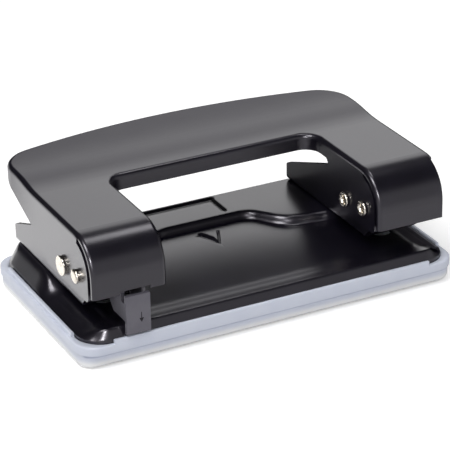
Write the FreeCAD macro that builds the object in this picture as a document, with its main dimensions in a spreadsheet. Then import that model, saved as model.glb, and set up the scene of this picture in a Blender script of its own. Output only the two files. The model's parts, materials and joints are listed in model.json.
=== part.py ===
import FreeCAD, Part
import math
import os
import re
import Sketcher

# Two-hole desk punch in millimetres.
# The origin lies on the desk under the middle of the chip tray: X runs along the machine,
# Y runs from the paper side to the rear and Z is up.
# A sheet-metal lever turns on two fulcrum pins. Two drive pins behind them push the
# punches through the paper and into die holes in the base plate.

DRIVING = [
    # alias, value, meaning
    ("hole_spacing", 80.0, "between the axes of the two punches"),
    ("paper_margin", 13.0, "from the paper stop to the punch axes"),
    ("punch_y", -11.5, "punch axes, front to rear"),
    ("fulcrum_y", -20.5, "fulcrum pin axis"),
    ("fulcrum_z", 22.5, "fulcrum pin axis above the desk"),
    ("pin_spacing", 9.4, "fulcrum axis to drive pin axis"),
    ("rest_droop", 7.5, "drive pin below the fulcrum at rest, degrees"),
    ("lever_swing", 17.0, "lever travel, degrees"),
    ("run_gap", 0.08, "radial gap of a running fit"),
    # base plate
    ("base_sheet", 1.0, "base plate gauge"),
    ("foot_x", 51.6, "half length of the base at its foot"),
    ("foot_y", 28.0, "half width of the base at its foot"),
    ("foot_z", 4.4, "underside of the base skirt, on the seat in the tray"),
    ("foot_radius", 7.0, "corner of the base in plan"),
    ("waist_z", 7.0, "height at which the skirt starts to lean in"),
    ("rim_x", 48.8, "half length of the rim round the table"),
    ("rim_y", 26.7, "front of the rim"),
    ("rim_z", 9.6, "rim round the table"),
    ("rim_corner", 5.0, "corner of the rim in plan"),
    ("rim_rear", 24.9, "rear of the rim, under the plateau"),
    ("table_x", 43.6, "half length of the table"),
    ("table_y", 23.2, "front of the table"),
    ("table_corner", 1.2, "corner of the table in plan"),
    ("table_rear", 20.0, "rear of the table, under the plateau"),
    ("table_z", 10.0, "paper table"),
    ("table_soft", 0.3, "pressed edge of the table"),
    ("plateau_x", 48.7, "half length of the plateau"),
    ("plateau_y", 25.9, "rear of the plateau"),
    ("plateau_z", 12.0, "raised rear plateau"),
    ("plateau_corner", 4.5, "corner of the plateau in plan"),
    ("base_soft", 0.8, "pressed edges of the rim and the plateau"),
    ("stop_middle_x", 11.6, "half length of the straight middle of the plateau's front"),
    ("stop_middle_y", 12.5, "middle of the plateau's front"),
    ("stop_slope", 54.0, "slope of the plateau's front between middle and towers, degrees"),
    ("stop_runout", 9.3, "slope where it reaches the towers, degrees"),
    ("stop_crest", 3.0, "bend at the middle in plan"),
    ("stop_hollow", 9.0, "bend at the towers in plan"),
    ("stop_tower_x", 31.0, "where the paper stop runs straight under a tower"),
    ("stop_hollow_x", 23.4, "tower end of the hollow bend"),
    ("mark_depth", 0.35, "grooves pressed into the base"),
    ("mark_front", 2.0, "point of the V mark at the middle of the table"),
    ("mark_rear", 8.8, "open end of the V mark"),
    ("mark_half", 2.9, "half width of the V mark"),
    ("mark_stroke", 0.9, "width of its strokes, along the machine"),
    ("frame_left", -20.0, "left side of the frame on the plateau"),
    ("frame_right", 8.0, "right side of that frame"),
    ("frame_front", 16.0, "open front end of the frame"),
    ("frame_rear", 24.1, "rear side of the frame"),
    ("frame_groove", 0.55, "half width of the frame's groove"),
    # punches, springs and pins
    ("die_radius", 3.1, "die holes in the table"),
    ("punch_radius", 3.0, "punch shank"),
    ("punch_low", 12.1, "cutting end of a punch at rest"),
    ("punch_high", 25.0, "top of a punch at rest"),
    ("punch_chamfer", 0.4, "top edge of a punch"),
    ("punch_bite", 0.8, "depth of the V across a punch's cutting end"),
    ("cap_z", 18.2, "underside of the spring cap at rest"),
    ("cap_radius", 4.4, "spring cap"),
    ("cap_thick", 0.6, "spring cap and punch clip"),
    ("groove_radius", 2.5, "clip groove of a punch"),
    ("clip_radius", 4.1, "outside of a punch clip"),
    ("clip_mouth", 1.9, "half width of the clip's mouth"),
    ("clip_gap", 0.05, "play of the clip in its groove"),
    ("spring_wire", 0.27, "radius of the spring wire"),
    ("spring_mean", 3.75, "mean coil radius of the spring"),
    ("spring_turns", 3.5, "turns of the spring"),
    ("coil_gap", 0.02, "gap between the spring's ends and what they bear on"),
    ("pin_radius", 1.3, "shank of every pin"),
    ("pin_fit", 0.02, "radial gap of a pin in the lever"),
    ("pin_chamfer", 0.3, "outer edge of a pin's head"),
    ("drive_gap", 0.12, "radial gap of a drive pin in its slots"),
    ("slot_spare", 2.4, "spare swing at each end of a drive slot, degrees"),
    ("fulcrum_head", 2.25, "head of a fulcrum pin"),
    ("fulcrum_head_thick", 1.5, "thickness of that head"),
    ("drive_head", 2.65, "head of a drive pin"),
    ("drive_head_thick", 1.0, "thickness of that head"),
    ("bore_radius", 0.8, "hollow end of a pin"),
    ("bore_depth", 2.5, "depth of that hollow"),
    ("flare_radius", 2.1, "flared inner end of a pin"),
    ("flare_length", 0.9, "how far that end stands off the flange"),
    ("flare_mouth", 0.5, "how far the hollow widens at its mouth"),
    ("flare_lip", 0.4, "rolled edge of the flared end"),
    # brackets
    ("bracket_sheet", 1.2, "bracket gauge"),
    ("bracket_half", 8.1, "half width of a bracket over its side plates"),
    ("bracket_rear", 25.2, "rear end of the bracket"),
    ("bracket_front", -16.6, "front end of the bracket web"),
    ("bracket_nose", -24.2, "front edge of the side plates at the fulcrum"),
    ("bracket_nose_z", 19.5, "lower corner of that front edge"),
    ("bracket_tail_z", 17.1, "top of the side plates at the rear"),
    ("bracket_top_z", 25.9, "top of the side plates at the pins"),
    ("bracket_slope_y", 1.4, "front end of the sloping top edge"),
    ("bracket_bend", 1.5, "bends between web and side plates"),
    ("bracket_tail_corner", 0.9, "rear corners of the side plates"),
    ("bracket_nose_corner", 2.5, "front corners of the side plates"),
    ("rivet_front_y", 6.5, "front bracket rivet"),
    ("rivet_rear_y", 19.0, "rear bracket rivet"),
    ("rivet_radius", 1.5, "bracket rivet shank"),
    ("rivet_head", 2.6, "round head of a bracket rivet"),
    ("rivet_crown", 1.1, "height of that head"),
    ("rivet_flat", 0.7, "radius of the flat on its top"),
    ("rivet_tail", 2.3, "upset tail of the rivet under the base"),
    ("rivet_tail_thick", 0.8, "thickness of that tail"),
    ("rivet_tail_taper", 0.4, "how far the tail narrows"),
    # lever
    ("lever_sheet", 1.1, "lever gauge"),
    ("lever_half", 49.9, "half length of the lever"),
    ("window_half", 29.7, "half length of the window between the arms"),
    ("window_rear", 6.8, "rear edge of the window"),
    ("window_corner", 4.5, "rear corners of the window in plan"),
    ("lever_front", -28.2, "front face of the lever"),
    ("lever_top", 33.4, "top of the arms"),
    ("rear_top", 34.5, "top of the rear bar"),
    ("rise_front_y", 6.0, "front end of the rise from the arms to the bar"),
    ("rise_rear_y", 20.0, "rear end of that rise"),
    ("front_bend", 10.0, "bend between the top and the front flange"),
    ("edge_round", 1.3, "pressed edges of the lever"),
    ("side_low", 17.3, "lower edge of the side flanges"),
    ("flange_corner", 1.4, "lower front corner of a side flange"),
    ("side_rise_y", -4.0, "where the side flange's lower edge starts to rise"),
    ("side_rise", 16.2, "radius of that rise"),
    ("side_slope_y", 8.2, "rear end of the rise, where the edge runs on straight"),
    ("side_slope_z", 23.5, "height there"),
    ("side_end_y", 24.5, "where the edge meets the rear flange's"),
    ("front_low", 18.8, "lower edge of the front flanges"),
    ("rear_low", 30.0, "lower edge of the rear flange"),
    ("window_low", 29.1, "lower edge of the flange along the window"),
    ("heel_y", -1.8, "rear end of an arm's inner flange"),
    ("heel_corner", 1.5, "hollow corner between that end and the window flange"),
    ("rear_side_y", 31.5, "rear edge of the lever at its corner bends"),
    ("rear_side_x", 42.0, "half length between those corner bends"),
    ("rear_middle_y", 36.2, "rear edge of the lever in its middle"),
    ("slit", 1.0, "slit between a front flange and a side flange"),
    ("slit_end", 14.0, "how far short of the top the slit ends, degrees of the bend"),
    ("left_trim", 0.3, "how far the left front flange ends short of the side flange"),
    ("right_trim", 1.2, "how far the right one does"),
    # chip tray
    ("tray_x", 53.3, "half length of the tray"),
    ("tray_y", 29.05, "half width of the tray"),
    ("tray_corner", 5.8, "corner of the tray in plan"),
    ("tray_foot_x", 52.8, "half length of the tray's foot"),
    ("tray_foot_y", 27.9, "half width of the tray's foot"),
    ("tray_foot_corner", 4.2, "corner of the tray's foot in plan"),
    ("tray_edge", 1.4, "bottom edge of the tray"),
    ("tray_flare_z", 3.0, "height at which the tray's wall flares out"),
    ("tray_band_z", 4.1, "lower edge of the wide band round the base"),
    ("tray_wall_z", 6.3, "top of the tray at its corners"),
    ("tray_lip_z", 7.4, "top of the straight lips"),
    ("tray_soft", 0.5, "top edge of the wide band"),
    ("tray_gauge", 1.2, "floor and wall of the tray"),
    ("tray_gap", 0.15, "gap between tray wall and base skirt"),
    ("lip_gauge", 0.9, "thickness of the straight lips"),
    ("lip_half_x", 44.6, "half length of the front and rear lips"),
    ("lip_half_y", 20.5, "half length of the side lips"),
    # lock latch
    ("latch_sheet", 1.0, "latch gauge"),
    ("latch_left", -41.6, "left side of the latch"),
    ("latch_right", -35.1, "right side of the latch"),
    ("latch_front", -29.6, "front face of the latch"),
    ("latch_low", 8.2, "lower end of the latch face"),
    ("latch_top", 18.5, "upper end of the latch face"),
    ("latch_ear_low", 11.6, "lower edge of the latch ears"),
    ("latch_travel", 2.6, "travel of the latch"),
    ("latch_spare", 0.35, "spare travel at each end of its slots"),
    ("ear_width", 1.6, "ear on each side of its slot"),
    ("ear_slope_y", 1.5, "front end of an ear's sloping lower edge"),
    ("ear_slope_z", 4.5, "rise of that edge"),
    ("throat_gap", 0.3, "gap between the front flange and the ears' throat"),
    ("throat_spare", 0.4, "how far the throat stays clear of that flange's edge"),
    ("notch_gap", 0.8, "gap round the latch in its notch in the front flange"),
]
ALIASES = {alias for alias, value, meaning in DRIVING}

OUTSIDE = "60"      # clear of every part, from the origin
THROUGH = "200"     # length of a cut that goes right through
CLOSE = 0.01        # two places this near are the same

doc = FreeCAD.newDocument("DeskPunch")
sizes = doc.addObject("Spreadsheet::Sheet", "Sizes")
for row, (alias, value, meaning) in enumerate(DRIVING, start=1):
    sizes.set(f"A{row}", meaning)
    sizes.set(f"B{row}", str(value))
    sizes.setAlias(f"B{row}", alias)
doc.recompute()


# ---------------------------------------------------------------- helpers

def bound(formula):
    """Give a formula in plain aliases the sheet's name, as expressions need it."""
    def with_sheet(word):
        return f"Sizes.{word[0]}" if word[0] in ALIASES else word[0]
    return re.sub(r"[a-z][a-z_]*", with_sheet, str(formula))


def number(formula):
    """Value of a formula in aliases."""
    return float(sizes.evalExpression(bound(formula)))


def new_body(label):
    """Empty body with that label."""
    body = doc.addObject("PartDesign::Body", label)
    body.Label = label
    return body


def sketch_on(body, role, name, lift="0"):
    """Sketch on one of the body's own origin planes, lifted along the plane's normal."""
    sketch = body.newObject("Sketcher::SketchObject", f"{body.Name}_{name}")
    plane = next(feature for feature in body.Origin.OriginFeatures if feature.Role == role)
    sketch.AttachmentSupport = (plane, "")
    sketch.MapMode = "FlatFace"
    sketch.setExpression("AttachmentOffset.Base.z", bound(lift))
    return sketch


def pin_down(sketch, geometry, point, axis, formula):
    """Fix one coordinate of a sketch point to a formula."""
    constraint = Sketcher.Constraint(f"Distance{axis}", geometry, point, number(formula))
    index = sketch.addConstraint(constraint)
    sketch.setExpression(f"Constraints[{index}]", bound(formula))


def arc_between(start, end, radius):
    """Short arc from start to end; it turns left when the radius is positive."""
    chord = end - start
    rise = math.sqrt(max(radius * radius - chord.Length ** 2 / 4, 0.0))
    left = FreeCAD.Vector(-chord.y, chord.x, 0) / chord.Length
    centre = (start + end) * 0.5 + left * math.copysign(rise, radius)
    circle = Part.Circle(centre, FreeCAD.Vector(0, 0, 1), abs(radius))
    first, last = (start, end) if radius > 0 else (end, start)
    angles = [math.atan2(spot.y - centre.y, spot.x - centre.x) for spot in (first, last)]
    return Part.ArcOfCircle(circle, *angles)


def outline(sketch, corners):
    """Closed outline. A corner is (across, up), or (across, up, radius) where an arc leaves it."""
    spots = [FreeCAD.Vector(number(corner[0]), number(corner[1]), 0) for corner in corners]
    base = sketch.GeometryCount
    ends = []
    for i, corner in enumerate(corners):
        start, end = spots[i], spots[(i + 1) % len(spots)]
        if len(corner) == 2:
            sketch.addGeometry(Part.LineSegment(start, end), False)
            ends.append((1, 2))
        else:
            radius = number(corner[2])
            sketch.addGeometry(arc_between(start, end, radius), False)
            ends.append((1, 2) if radius > 0 else (2, 1))
    for i, corner in enumerate(corners):
        after = (i + 1) % len(corners)
        joint = Sketcher.Constraint("Coincident", base + i, ends[i][1], base + after, ends[after][0])
        sketch.addConstraint(joint)
        pin_down(sketch, base + i, ends[i][0], "X", corner[0])
        pin_down(sketch, base + i, ends[i][0], "Y", corner[1])
        if len(corner) == 3:
            size = Sketcher.Constraint("Radius", base + i, abs(number(corner[2])))
            index = sketch.addConstraint(size)
            sketch.setExpression(f"Constraints[{index}]", bound(f"abs({corner[2]})"))


def slot_end(half):
    """Radius of a slot's round end, a touch over half its width so that the arc stays the short one."""
    return f"1.02*{half}"


def rounded_box(sketch, left, front, right, rear, radius):
    """Outline of a rectangle with round corners."""
    r = f"({radius})"
    outline(sketch, [
        (f"{left} + {r}", front), (f"{right} - {r}", front, r),
        (right, f"{front} + {r}"), (right, f"{rear} - {r}", r),
        (f"{right} - {r}", rear), (f"{left} + {r}", rear, r),
        (left, f"{rear} - {r}"), (left, f"{front} + {r}", r),
    ])


def ring(sketch, across, up, radius):
    """Circle in a sketch."""
    centre = FreeCAD.Vector(number(across), number(up), 0)
    circle = Part.Circle(centre, FreeCAD.Vector(0, 0, 1), number(radius))
    geometry = sketch.addGeometry(circle, False)
    pin_down(sketch, geometry, 3, "X", across)
    pin_down(sketch, geometry, 3, "Y", up)
    index = sketch.addConstraint(Sketcher.Constraint("Radius", geometry, number(radius)))
    sketch.setExpression(f"Constraints[{index}]", bound(radius))


def swept(body, kind, sketch, length, both_ways=False, backwards=False):
    """Pad or pocket of a sketch."""
    feature = body.newObject(f"PartDesign::{kind}", f"{sketch.Name}_{kind}")
    feature.Profile = sketch
    feature.setExpression("Length", bound(length))
    feature.SideType = "Symmetric" if both_ways else "One side"
    feature.Reversed = backwards
    return feature


def cut_away(body, sketch, length, both_ways=False, backwards=False):
    """Pocket that has to take material away."""
    doc.recompute()
    before = body.Shape.Volume
    feature = swept(body, "Pocket", sketch, length, both_ways, backwards)
    doc.recompute()
    if body.Shape.Volume > before - 1e-6:
        raise RuntimeError(f"{feature.Label} cuts nothing")
    return feature


def turned(body, kind, sketch, axis):
    """Revolution or groove of a sketch about one of its own axes."""
    feature = body.newObject(f"PartDesign::{kind}", f"{sketch.Name}_{kind}")
    feature.Profile = sketch
    feature.ReferenceAxis = (sketch, [axis])
    feature.Angle = 360
    return feature


def loft(body, lower, upper):
    """Solid between two sketches."""
    feature = body.newObject("PartDesign::AdditiveLoft", f"{upper.Name}_Loft")
    feature.Profile = lower
    feature.Sections = [upper]
    feature.Ruled = True
    return feature


def rounded(body, name, radius, wanted, kind="Fillet"):
    """Fillet or chamfer the edges of the body's tip that the test picks."""
    doc.recompute()
    tip = body.Tip
    names = [f"Edge{i}" for i, edge in enumerate(tip.Shape.Edges, start=1) if wanted(edge)]
    if not names:
        raise RuntimeError(f"no edge for {name} on {body.Label}")
    feature = body.newObject(f"PartDesign::{kind}", f"{body.Name}_{name}")
    feature.Base = (tip, names)
    feature.setExpression("Radius" if kind == "Fillet" else "Size", bound(radius))
    doc.recompute()
    return feature


def middle(edge):
    """Point halfway along an edge."""
    return edge.valueAt((edge.FirstParameter + edge.LastParameter) / 2)


def place(thing, x="0", y="0", z="0", turn=0):
    """Put a sub-part where the formulas say, turned about the vertical."""
    thing.Placement = FreeCAD.Placement(FreeCAD.Vector(), FreeCAD.Rotation(turn, 0, 0))
    for axis, formula in zip("xyz", (x, y, z)):
        thing.setExpression(f"Placement.Base.{axis}", bound(formula))


def difference(label, solid, tool):
    """Solid less tool, under its own label."""
    cut = doc.addObject("Part::Cut", label)
    cut.Label = label
    cut.Base = solid
    cut.Tool = tool
    return cut


# ---------------------------------------------------------------- base plate

def stop_corners(inset):
    """Right half of the plateau's front in plan, tower end first, drawn in by inset."""
    stop_y = "(punch_y + paper_margin)"
    run_y = f"({stop_y} + (stop_tower_x - stop_hollow_x)*tan(stop_runout))"
    end_x = f"(stop_hollow_x + ({inset})*sin(stop_runout))"
    end_y = f"({run_y} + ({inset})*cos(stop_runout))"
    hollow = f"(stop_hollow - ({inset}))"
    crest = f"(stop_crest + ({inset}))"
    return [
        ("stop_tower_x", f"{stop_y} + {inset}"),
        (end_x, end_y, f"-{hollow}"),
        (f"{end_x} - {hollow}*(sin(stop_slope) - sin(stop_runout))",
         f"{end_y} + {hollow}*(cos(stop_runout) - cos(stop_slope))"),
        (f"stop_middle_x + {crest}*sin(stop_slope)",
         f"stop_middle_y + {inset} - {crest}*(1 - cos(stop_slope))", crest),
        ("stop_middle_x", f"stop_middle_y + {inset}"),
    ]


def front_region(inset):
    """Everything in front of the plateau, as an outline."""
    right = stop_corners(inset)
    left = []
    for i in range(len(right) - 1, -1, -1):
        across, up = right[i][:2]
        mirrored = (f"-({across})", up)
        if i > 0 and len(right[i - 1]) == 3:
            mirrored = (*mirrored, right[i - 1][2])
        left.append(mirrored)
    beside = right[0][1]
    return [(f"-{OUTSIDE}", f"-{OUTSIDE}"), (OUTSIDE, f"-{OUTSIDE}"), (OUTSIDE, beside),
            *right, *left, (f"-{OUTSIDE}", beside)]


def base_form(label, inset):
    """Pressed form of the base, drawn in by inset: its outer skin, or the hollow under it."""
    body = new_body(label)
    foot = sketch_on(body, "XY_Plane", "PlateauFoot", "waist_z")
    rounded_box(foot, f"-foot_x + {inset}", f"-foot_y + {inset}", f"foot_x - {inset}",
                f"foot_y - {inset}", f"foot_radius - {inset}")
    top = sketch_on(body, "XY_Plane", "PlateauTop", f"plateau_z - {inset}")
    rounded_box(top, f"-plateau_x + {inset}", f"-plateau_y + {inset}", f"plateau_x - {inset}",
                f"plateau_y - {inset}", f"plateau_corner - {inset}")
    loft(body, foot, top)
    front = sketch_on(body, "XY_Plane", "Front")
    outline(front, front_region(inset))
    cut_away(body, front, THROUGH, both_ways=True)
    if inset == "0":
        rounded(body, "PlateauEdge", "base_soft",
                lambda edge: abs(edge.BoundBox.ZMin - number("plateau_z")) < CLOSE)
    skirt_low = "foot_z" if inset == "0" else "foot_z - base_sheet"
    skirt = sketch_on(body, "XY_Plane", "Skirt", skirt_low)
    rounded_box(skirt, f"-foot_x + {inset}", f"-foot_y + {inset}", f"foot_x - {inset}",
                f"foot_y - {inset}", f"foot_radius - {inset}")
    swept(body, "Pad", skirt, f"waist_z - ({skirt_low})")
    waist = sketch_on(body, "XY_Plane", "Waist", "waist_z")
    rounded_box(waist, f"-foot_x + {inset}", f"-foot_y + {inset}", f"foot_x - {inset}",
                f"foot_y - {inset}", f"foot_radius - {inset}")
    rim = sketch_on(body, "XY_Plane", "Rim", f"rim_z - {inset}")
    rounded_box(rim, f"-rim_x + {inset}", f"-rim_y + {inset}", f"rim_x - {inset}",
                f"rim_rear - {inset}", f"rim_corner - {inset}")
    loft(body, waist, rim)
    table = sketch_on(body, "XY_Plane", "Table", "waist_z")
    rounded_box(table, f"-table_x + {inset}", f"-table_y + {inset}", f"table_x - {inset}",
                "table_rear", f"table_corner - {inset}")
    swept(body, "Pad", table, f"table_z - {inset} - waist_z")
    doc.recompute()
    return body


def make_base():
    """Pressed plate: skirt, rim, paper table, stepped plateau, die holes and grooves."""
    skin = base_form("base_skin", "0")

    def level(edge, height):
        box = edge.BoundBox
        return abs(box.ZMin - number(height)) < CLOSE and abs(box.ZMax - number(height)) < CLOSE

    def table_edge(edge):
        spot = middle(edge)
        beside = abs(spot.x) > number("table_x - table_corner")
        return level(edge, "table_z") and (beside or spot.y < number("table_corner - table_y"))

    def rim_edge(edge):
        spot = middle(edge)
        beside = abs(spot.x) > number("(rim_x + table_x)/2") and spot.y < 0
        return level(edge, "rim_z") and (beside or spot.y < number("-(rim_y + table_y)/2"))

    rounded(skin, "RimEdge", "base_soft", rim_edge)
    rounded(skin, "TableEdge", "table_soft", table_edge)
    dies = sketch_on(skin, "XY_Plane", "Dies")
    rivets = sketch_on(skin, "XY_Plane", "RivetHoles")
    for sign in ("-", ""):
        ring(dies, f"{sign}hole_spacing/2", "punch_y", "die_radius")
        for rivet_y in ("rivet_front_y", "rivet_rear_y"):
            ring(rivets, f"{sign}hole_spacing/2", rivet_y, "rivet_radius + run_gap")
    cut_away(skin, dies, THROUGH, both_ways=True)
    cut_away(skin, rivets, THROUGH, both_ways=True)
    mark = sketch_on(skin, "XY_Plane", "CentreMark", "table_z")
    inner = "(mark_half - mark_stroke)"
    notch_y = f"mark_rear - {inner}*(mark_rear - mark_front)/mark_half"
    outline(mark, [("0", "mark_front"), ("mark_half", "mark_rear"), (inner, "mark_rear"),
                   ("0", notch_y), (f"-{inner}", "mark_rear"), ("-mark_half", "mark_rear")])
    cut_away(skin, mark, "mark_depth")
    frame = sketch_on(skin, "XY_Plane", "PlateauFrame", "plateau_z")
    out_left, out_right = "frame_left - frame_groove", "frame_right + frame_groove"
    in_left, in_right = "frame_left + frame_groove", "frame_right - frame_groove"
    out_rear, in_rear = "frame_rear + frame_groove", "frame_rear - frame_groove"
    outline(frame, [
        (out_left, "frame_front"), (in_left, "frame_front"), (in_left, in_rear),
        (in_right, in_rear), (in_right, "frame_front"), (out_right, "frame_front"),
        (out_right, out_rear), (out_left, out_rear),
    ])
    cut_away(skin, frame, "mark_depth")
    return difference("base_plate", skin, base_form("base_hollow", "base_sheet"))


# ---------------------------------------------------------------- brackets

def drive_slot(sketch):
    """Slot round the path of the drive pin, an arc about the fulcrum."""
    half = "(pin_radius + drive_gap)"
    top, low = "(rest_droop - slot_spare)", "(rest_droop + lever_swing + slot_spare)"

    def spot(reach, droop):
        return (f"fulcrum_y + {reach}*cos({droop})", f"fulcrum_z - {reach}*sin({droop})")

    outer, inner = f"(pin_spacing + {half})", f"(pin_spacing - {half})"
    outline(sketch, [
        (*spot(outer, low), outer),
        (*spot(outer, top), slot_end(half)),
        (*spot(inner, top), f"-{inner}"),
        (*spot(inner, low), slot_end(half)),
    ])


def make_bracket(side, sign):
    """Bent channel that carries one arm's pins and guides its punch."""
    body = new_body(f"{side}_bracket")
    profile = sketch_on(body, "YZ_Plane", "Side")
    outline(profile, [
        ("bracket_front", "plateau_z"),
        ("bracket_rear", "plateau_z"),
        ("bracket_rear", "bracket_tail_z"),
        ("bracket_slope_y", "bracket_top_z"),
        ("bracket_nose", "bracket_top_z"),
        ("bracket_nose", "bracket_nose_z"),
    ])
    swept(body, "Pad", profile, "2*bracket_half", both_ways=True)

    def across_at(*spots):
        def wanted(edge):
            spot = middle(edge)
            across = edge.BoundBox.XLength > number("bracket_half")
            return across and any(abs(spot.y - number(y)) < CLOSE and abs(spot.z - number(z)) < CLOSE
                                  for y, z in spots)
        return wanted

    def lengthwise(edge):
        low = abs(middle(edge).z - number("plateau_z")) < CLOSE
        return low and edge.BoundBox.YLength > number("bracket_rear")

    rounded(body, "TailCorners", "bracket_tail_corner", across_at(("bracket_rear", "bracket_tail_z")))
    rounded(body, "NoseCorners", "bracket_nose_corner",
            across_at(("bracket_nose", "bracket_top_z"), ("bracket_nose", "bracket_nose_z")))
    rounded(body, "Bends", "bracket_bend", lengthwise)
    channel = sketch_on(body, "YZ_Plane", "Channel")
    floor = "plateau_z + bracket_sheet"
    outline(channel, [(f"-{OUTSIDE}", floor), (OUTSIDE, floor), (OUTSIDE, OUTSIDE),
                      (f"-{OUTSIDE}", OUTSIDE)])
    cut_away(body, channel, "2*(bracket_half - bracket_sheet)", both_ways=True)
    holes = sketch_on(body, "XY_Plane", "WebHoles")
    ring(holes, "0", "punch_y", "punch_radius + run_gap")
    ring(holes, "0", "rivet_front_y", "rivet_radius + run_gap")
    ring(holes, "0", "rivet_rear_y", "rivet_radius + run_gap")
    cut_away(body, holes, THROUGH, both_ways=True)
    pivot = sketch_on(body, "YZ_Plane", "FulcrumHoles")
    ring(pivot, "fulcrum_y", "fulcrum_z", "pin_radius + run_gap")
    cut_away(body, pivot, THROUGH, both_ways=True)
    slot = sketch_on(body, "YZ_Plane", "DriveSlots")
    drive_slot(slot)
    cut_away(body, slot, THROUGH, both_ways=True)
    place(body, x=f"{sign}*hole_spacing/2")
    return body


def make_bracket_rivets(side, sign):
    """Two round-headed rivets through the bracket web and the plateau."""
    rivets = []
    for end in ("front", "rear"):
        body = new_body(f"{side}_{end}_rivet")
        profile = sketch_on(body, "XZ_Plane", "Profile")
        low, high = "plateau_z - base_sheet", "plateau_z + bracket_sheet"
        outline(profile, [
            ("0", f"{low} - rivet_tail_thick"),
            ("rivet_tail - rivet_tail_taper", f"{low} - rivet_tail_thick"),
            ("rivet_tail", low),
            ("rivet_radius", low),
            ("rivet_radius", high),
            ("rivet_head", high, "rivet_head"),
            ("rivet_flat", f"{high} + rivet_crown"),
            ("0", f"{high} + rivet_crown"),
        ])
        turned(body, "Revolution", profile, "V_Axis")
        place(body, x=f"{sign}*hole_spacing/2", y=f"rivet_{end}_y")
        rivets.append(body)
    group = doc.addObject("Part::Compound", f"{side}_bracket_rivets")
    group.Label = f"{side}_bracket_rivets"
    group.Links = rivets
    return group


# ---------------------------------------------------------------- punches and springs

def make_punch(side, sign):
    """Round punch with a notched cutting end, a clip groove and a cross slot for the drive pin."""
    body = new_body(f"{side}_punch")
    shank = sketch_on(body, "XY_Plane", "Shank", "punch_low")
    ring(shank, "0", "0", "punch_radius")
    swept(body, "Pad", shank, "punch_high - punch_low")
    rounded(body, "TopEdge", "punch_chamfer",
            lambda edge: abs(middle(edge).z - number("punch_high")) < CLOSE, "Chamfer")
    notch = sketch_on(body, "YZ_Plane", "CuttingNotch")
    past_shank, notch_low = "1.2*punch_radius", "punch_low - punch_bite/2"
    outline(notch, [(f"-{past_shank}", notch_low), (past_shank, notch_low),
                    ("0", "punch_low + punch_bite")])
    cut_away(body, notch, THROUGH, both_ways=True)
    slot = sketch_on(body, "YZ_Plane", "CrossSlot")
    drive_z = "fulcrum_z - pin_spacing*sin(rest_droop)"
    rest_y = "fulcrum_y + pin_spacing*cos(rest_droop) - punch_y"
    pressed_y = "fulcrum_y + pin_spacing*cos(rest_droop + lever_swing) - punch_y"
    reach = "pin_radius + drive_gap"
    outline(slot, [
        (f"{pressed_y} - ({reach})", f"{drive_z} - ({reach})"),
        (f"{rest_y} + {reach}", f"{drive_z} - ({reach})"),
        (f"{rest_y} + {reach}", f"{drive_z} + {reach}"),
        (f"{pressed_y} - ({reach})", f"{drive_z} + {reach}"),
    ])
    cut_away(body, slot, THROUGH, both_ways=True)
    groove = sketch_on(body, "XZ_Plane", "ClipGroove")
    low, high = "cap_z + cap_thick", "cap_z + 2*cap_thick + 2*clip_gap"
    outline(groove, [("groove_radius", low), ("cap_radius", low),
                     ("cap_radius", high), ("groove_radius", high)])
    turned(body, "Groove", groove, "V_Axis")
    place(body, x=f"{sign}*hole_spacing/2", y="punch_y")
    return body


def make_spring(side, sign):
    """Open compression spring between the bracket web and the spring cap."""
    body = new_body(f"{side}_spring")
    wire = sketch_on(body, "XZ_Plane", "Wire")
    low = "plateau_z + bracket_sheet + spring_wire + coil_gap"
    ring(wire, "spring_mean", low, "spring_wire")
    coil = body.newObject("PartDesign::AdditiveHelix", f"{body.Name}_Coil")
    coil.Profile = wire
    coil.ReferenceAxis = (wire, ["V_Axis"])
    coil.Mode = "height-turns-angle"
    coil.setExpression("Turns", bound("spring_turns"))
    coil.setExpression("Height", bound(f"cap_z - spring_wire - coil_gap - ({low})"))
    place(body, x=f"{sign}*hole_spacing/2", y="punch_y")
    return body


def make_spring_cap(side, sign):
    """Washer that the spring lifts."""
    body = new_body(f"{side}_spring_cap")
    washer = sketch_on(body, "XY_Plane", "Washer", "cap_z")
    ring(washer, "0", "0", "cap_radius")
    ring(washer, "0", "0", "punch_radius + run_gap")
    swept(body, "Pad", washer, "cap_thick")
    place(body, x=f"{sign}*hole_spacing/2", y="punch_y")
    return body


def make_punch_clip(side, sign):
    """Open clip in the punch's groove, on top of the spring cap."""
    body = new_body(f"{side}_punch_clip")
    face = sketch_on(body, "XY_Plane", "Ring", "cap_z + cap_thick + clip_gap")
    ring(face, "0", "0", "clip_radius")
    ring(face, "0", "0", "groove_radius + clip_gap")
    swept(body, "Pad", face, "cap_thick")
    mouth = sketch_on(body, "XY_Plane", "Mouth")
    outline(mouth, [("-clip_mouth", "0"), ("-clip_mouth", "-2*clip_radius"),
                    ("clip_mouth", "-2*clip_radius"), ("clip_mouth", "0")])
    cut_away(body, mouth, THROUGH, both_ways=True)
    place(body, x=f"{sign}*hole_spacing/2", y="punch_y")
    return body


# ---------------------------------------------------------------- pins

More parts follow.
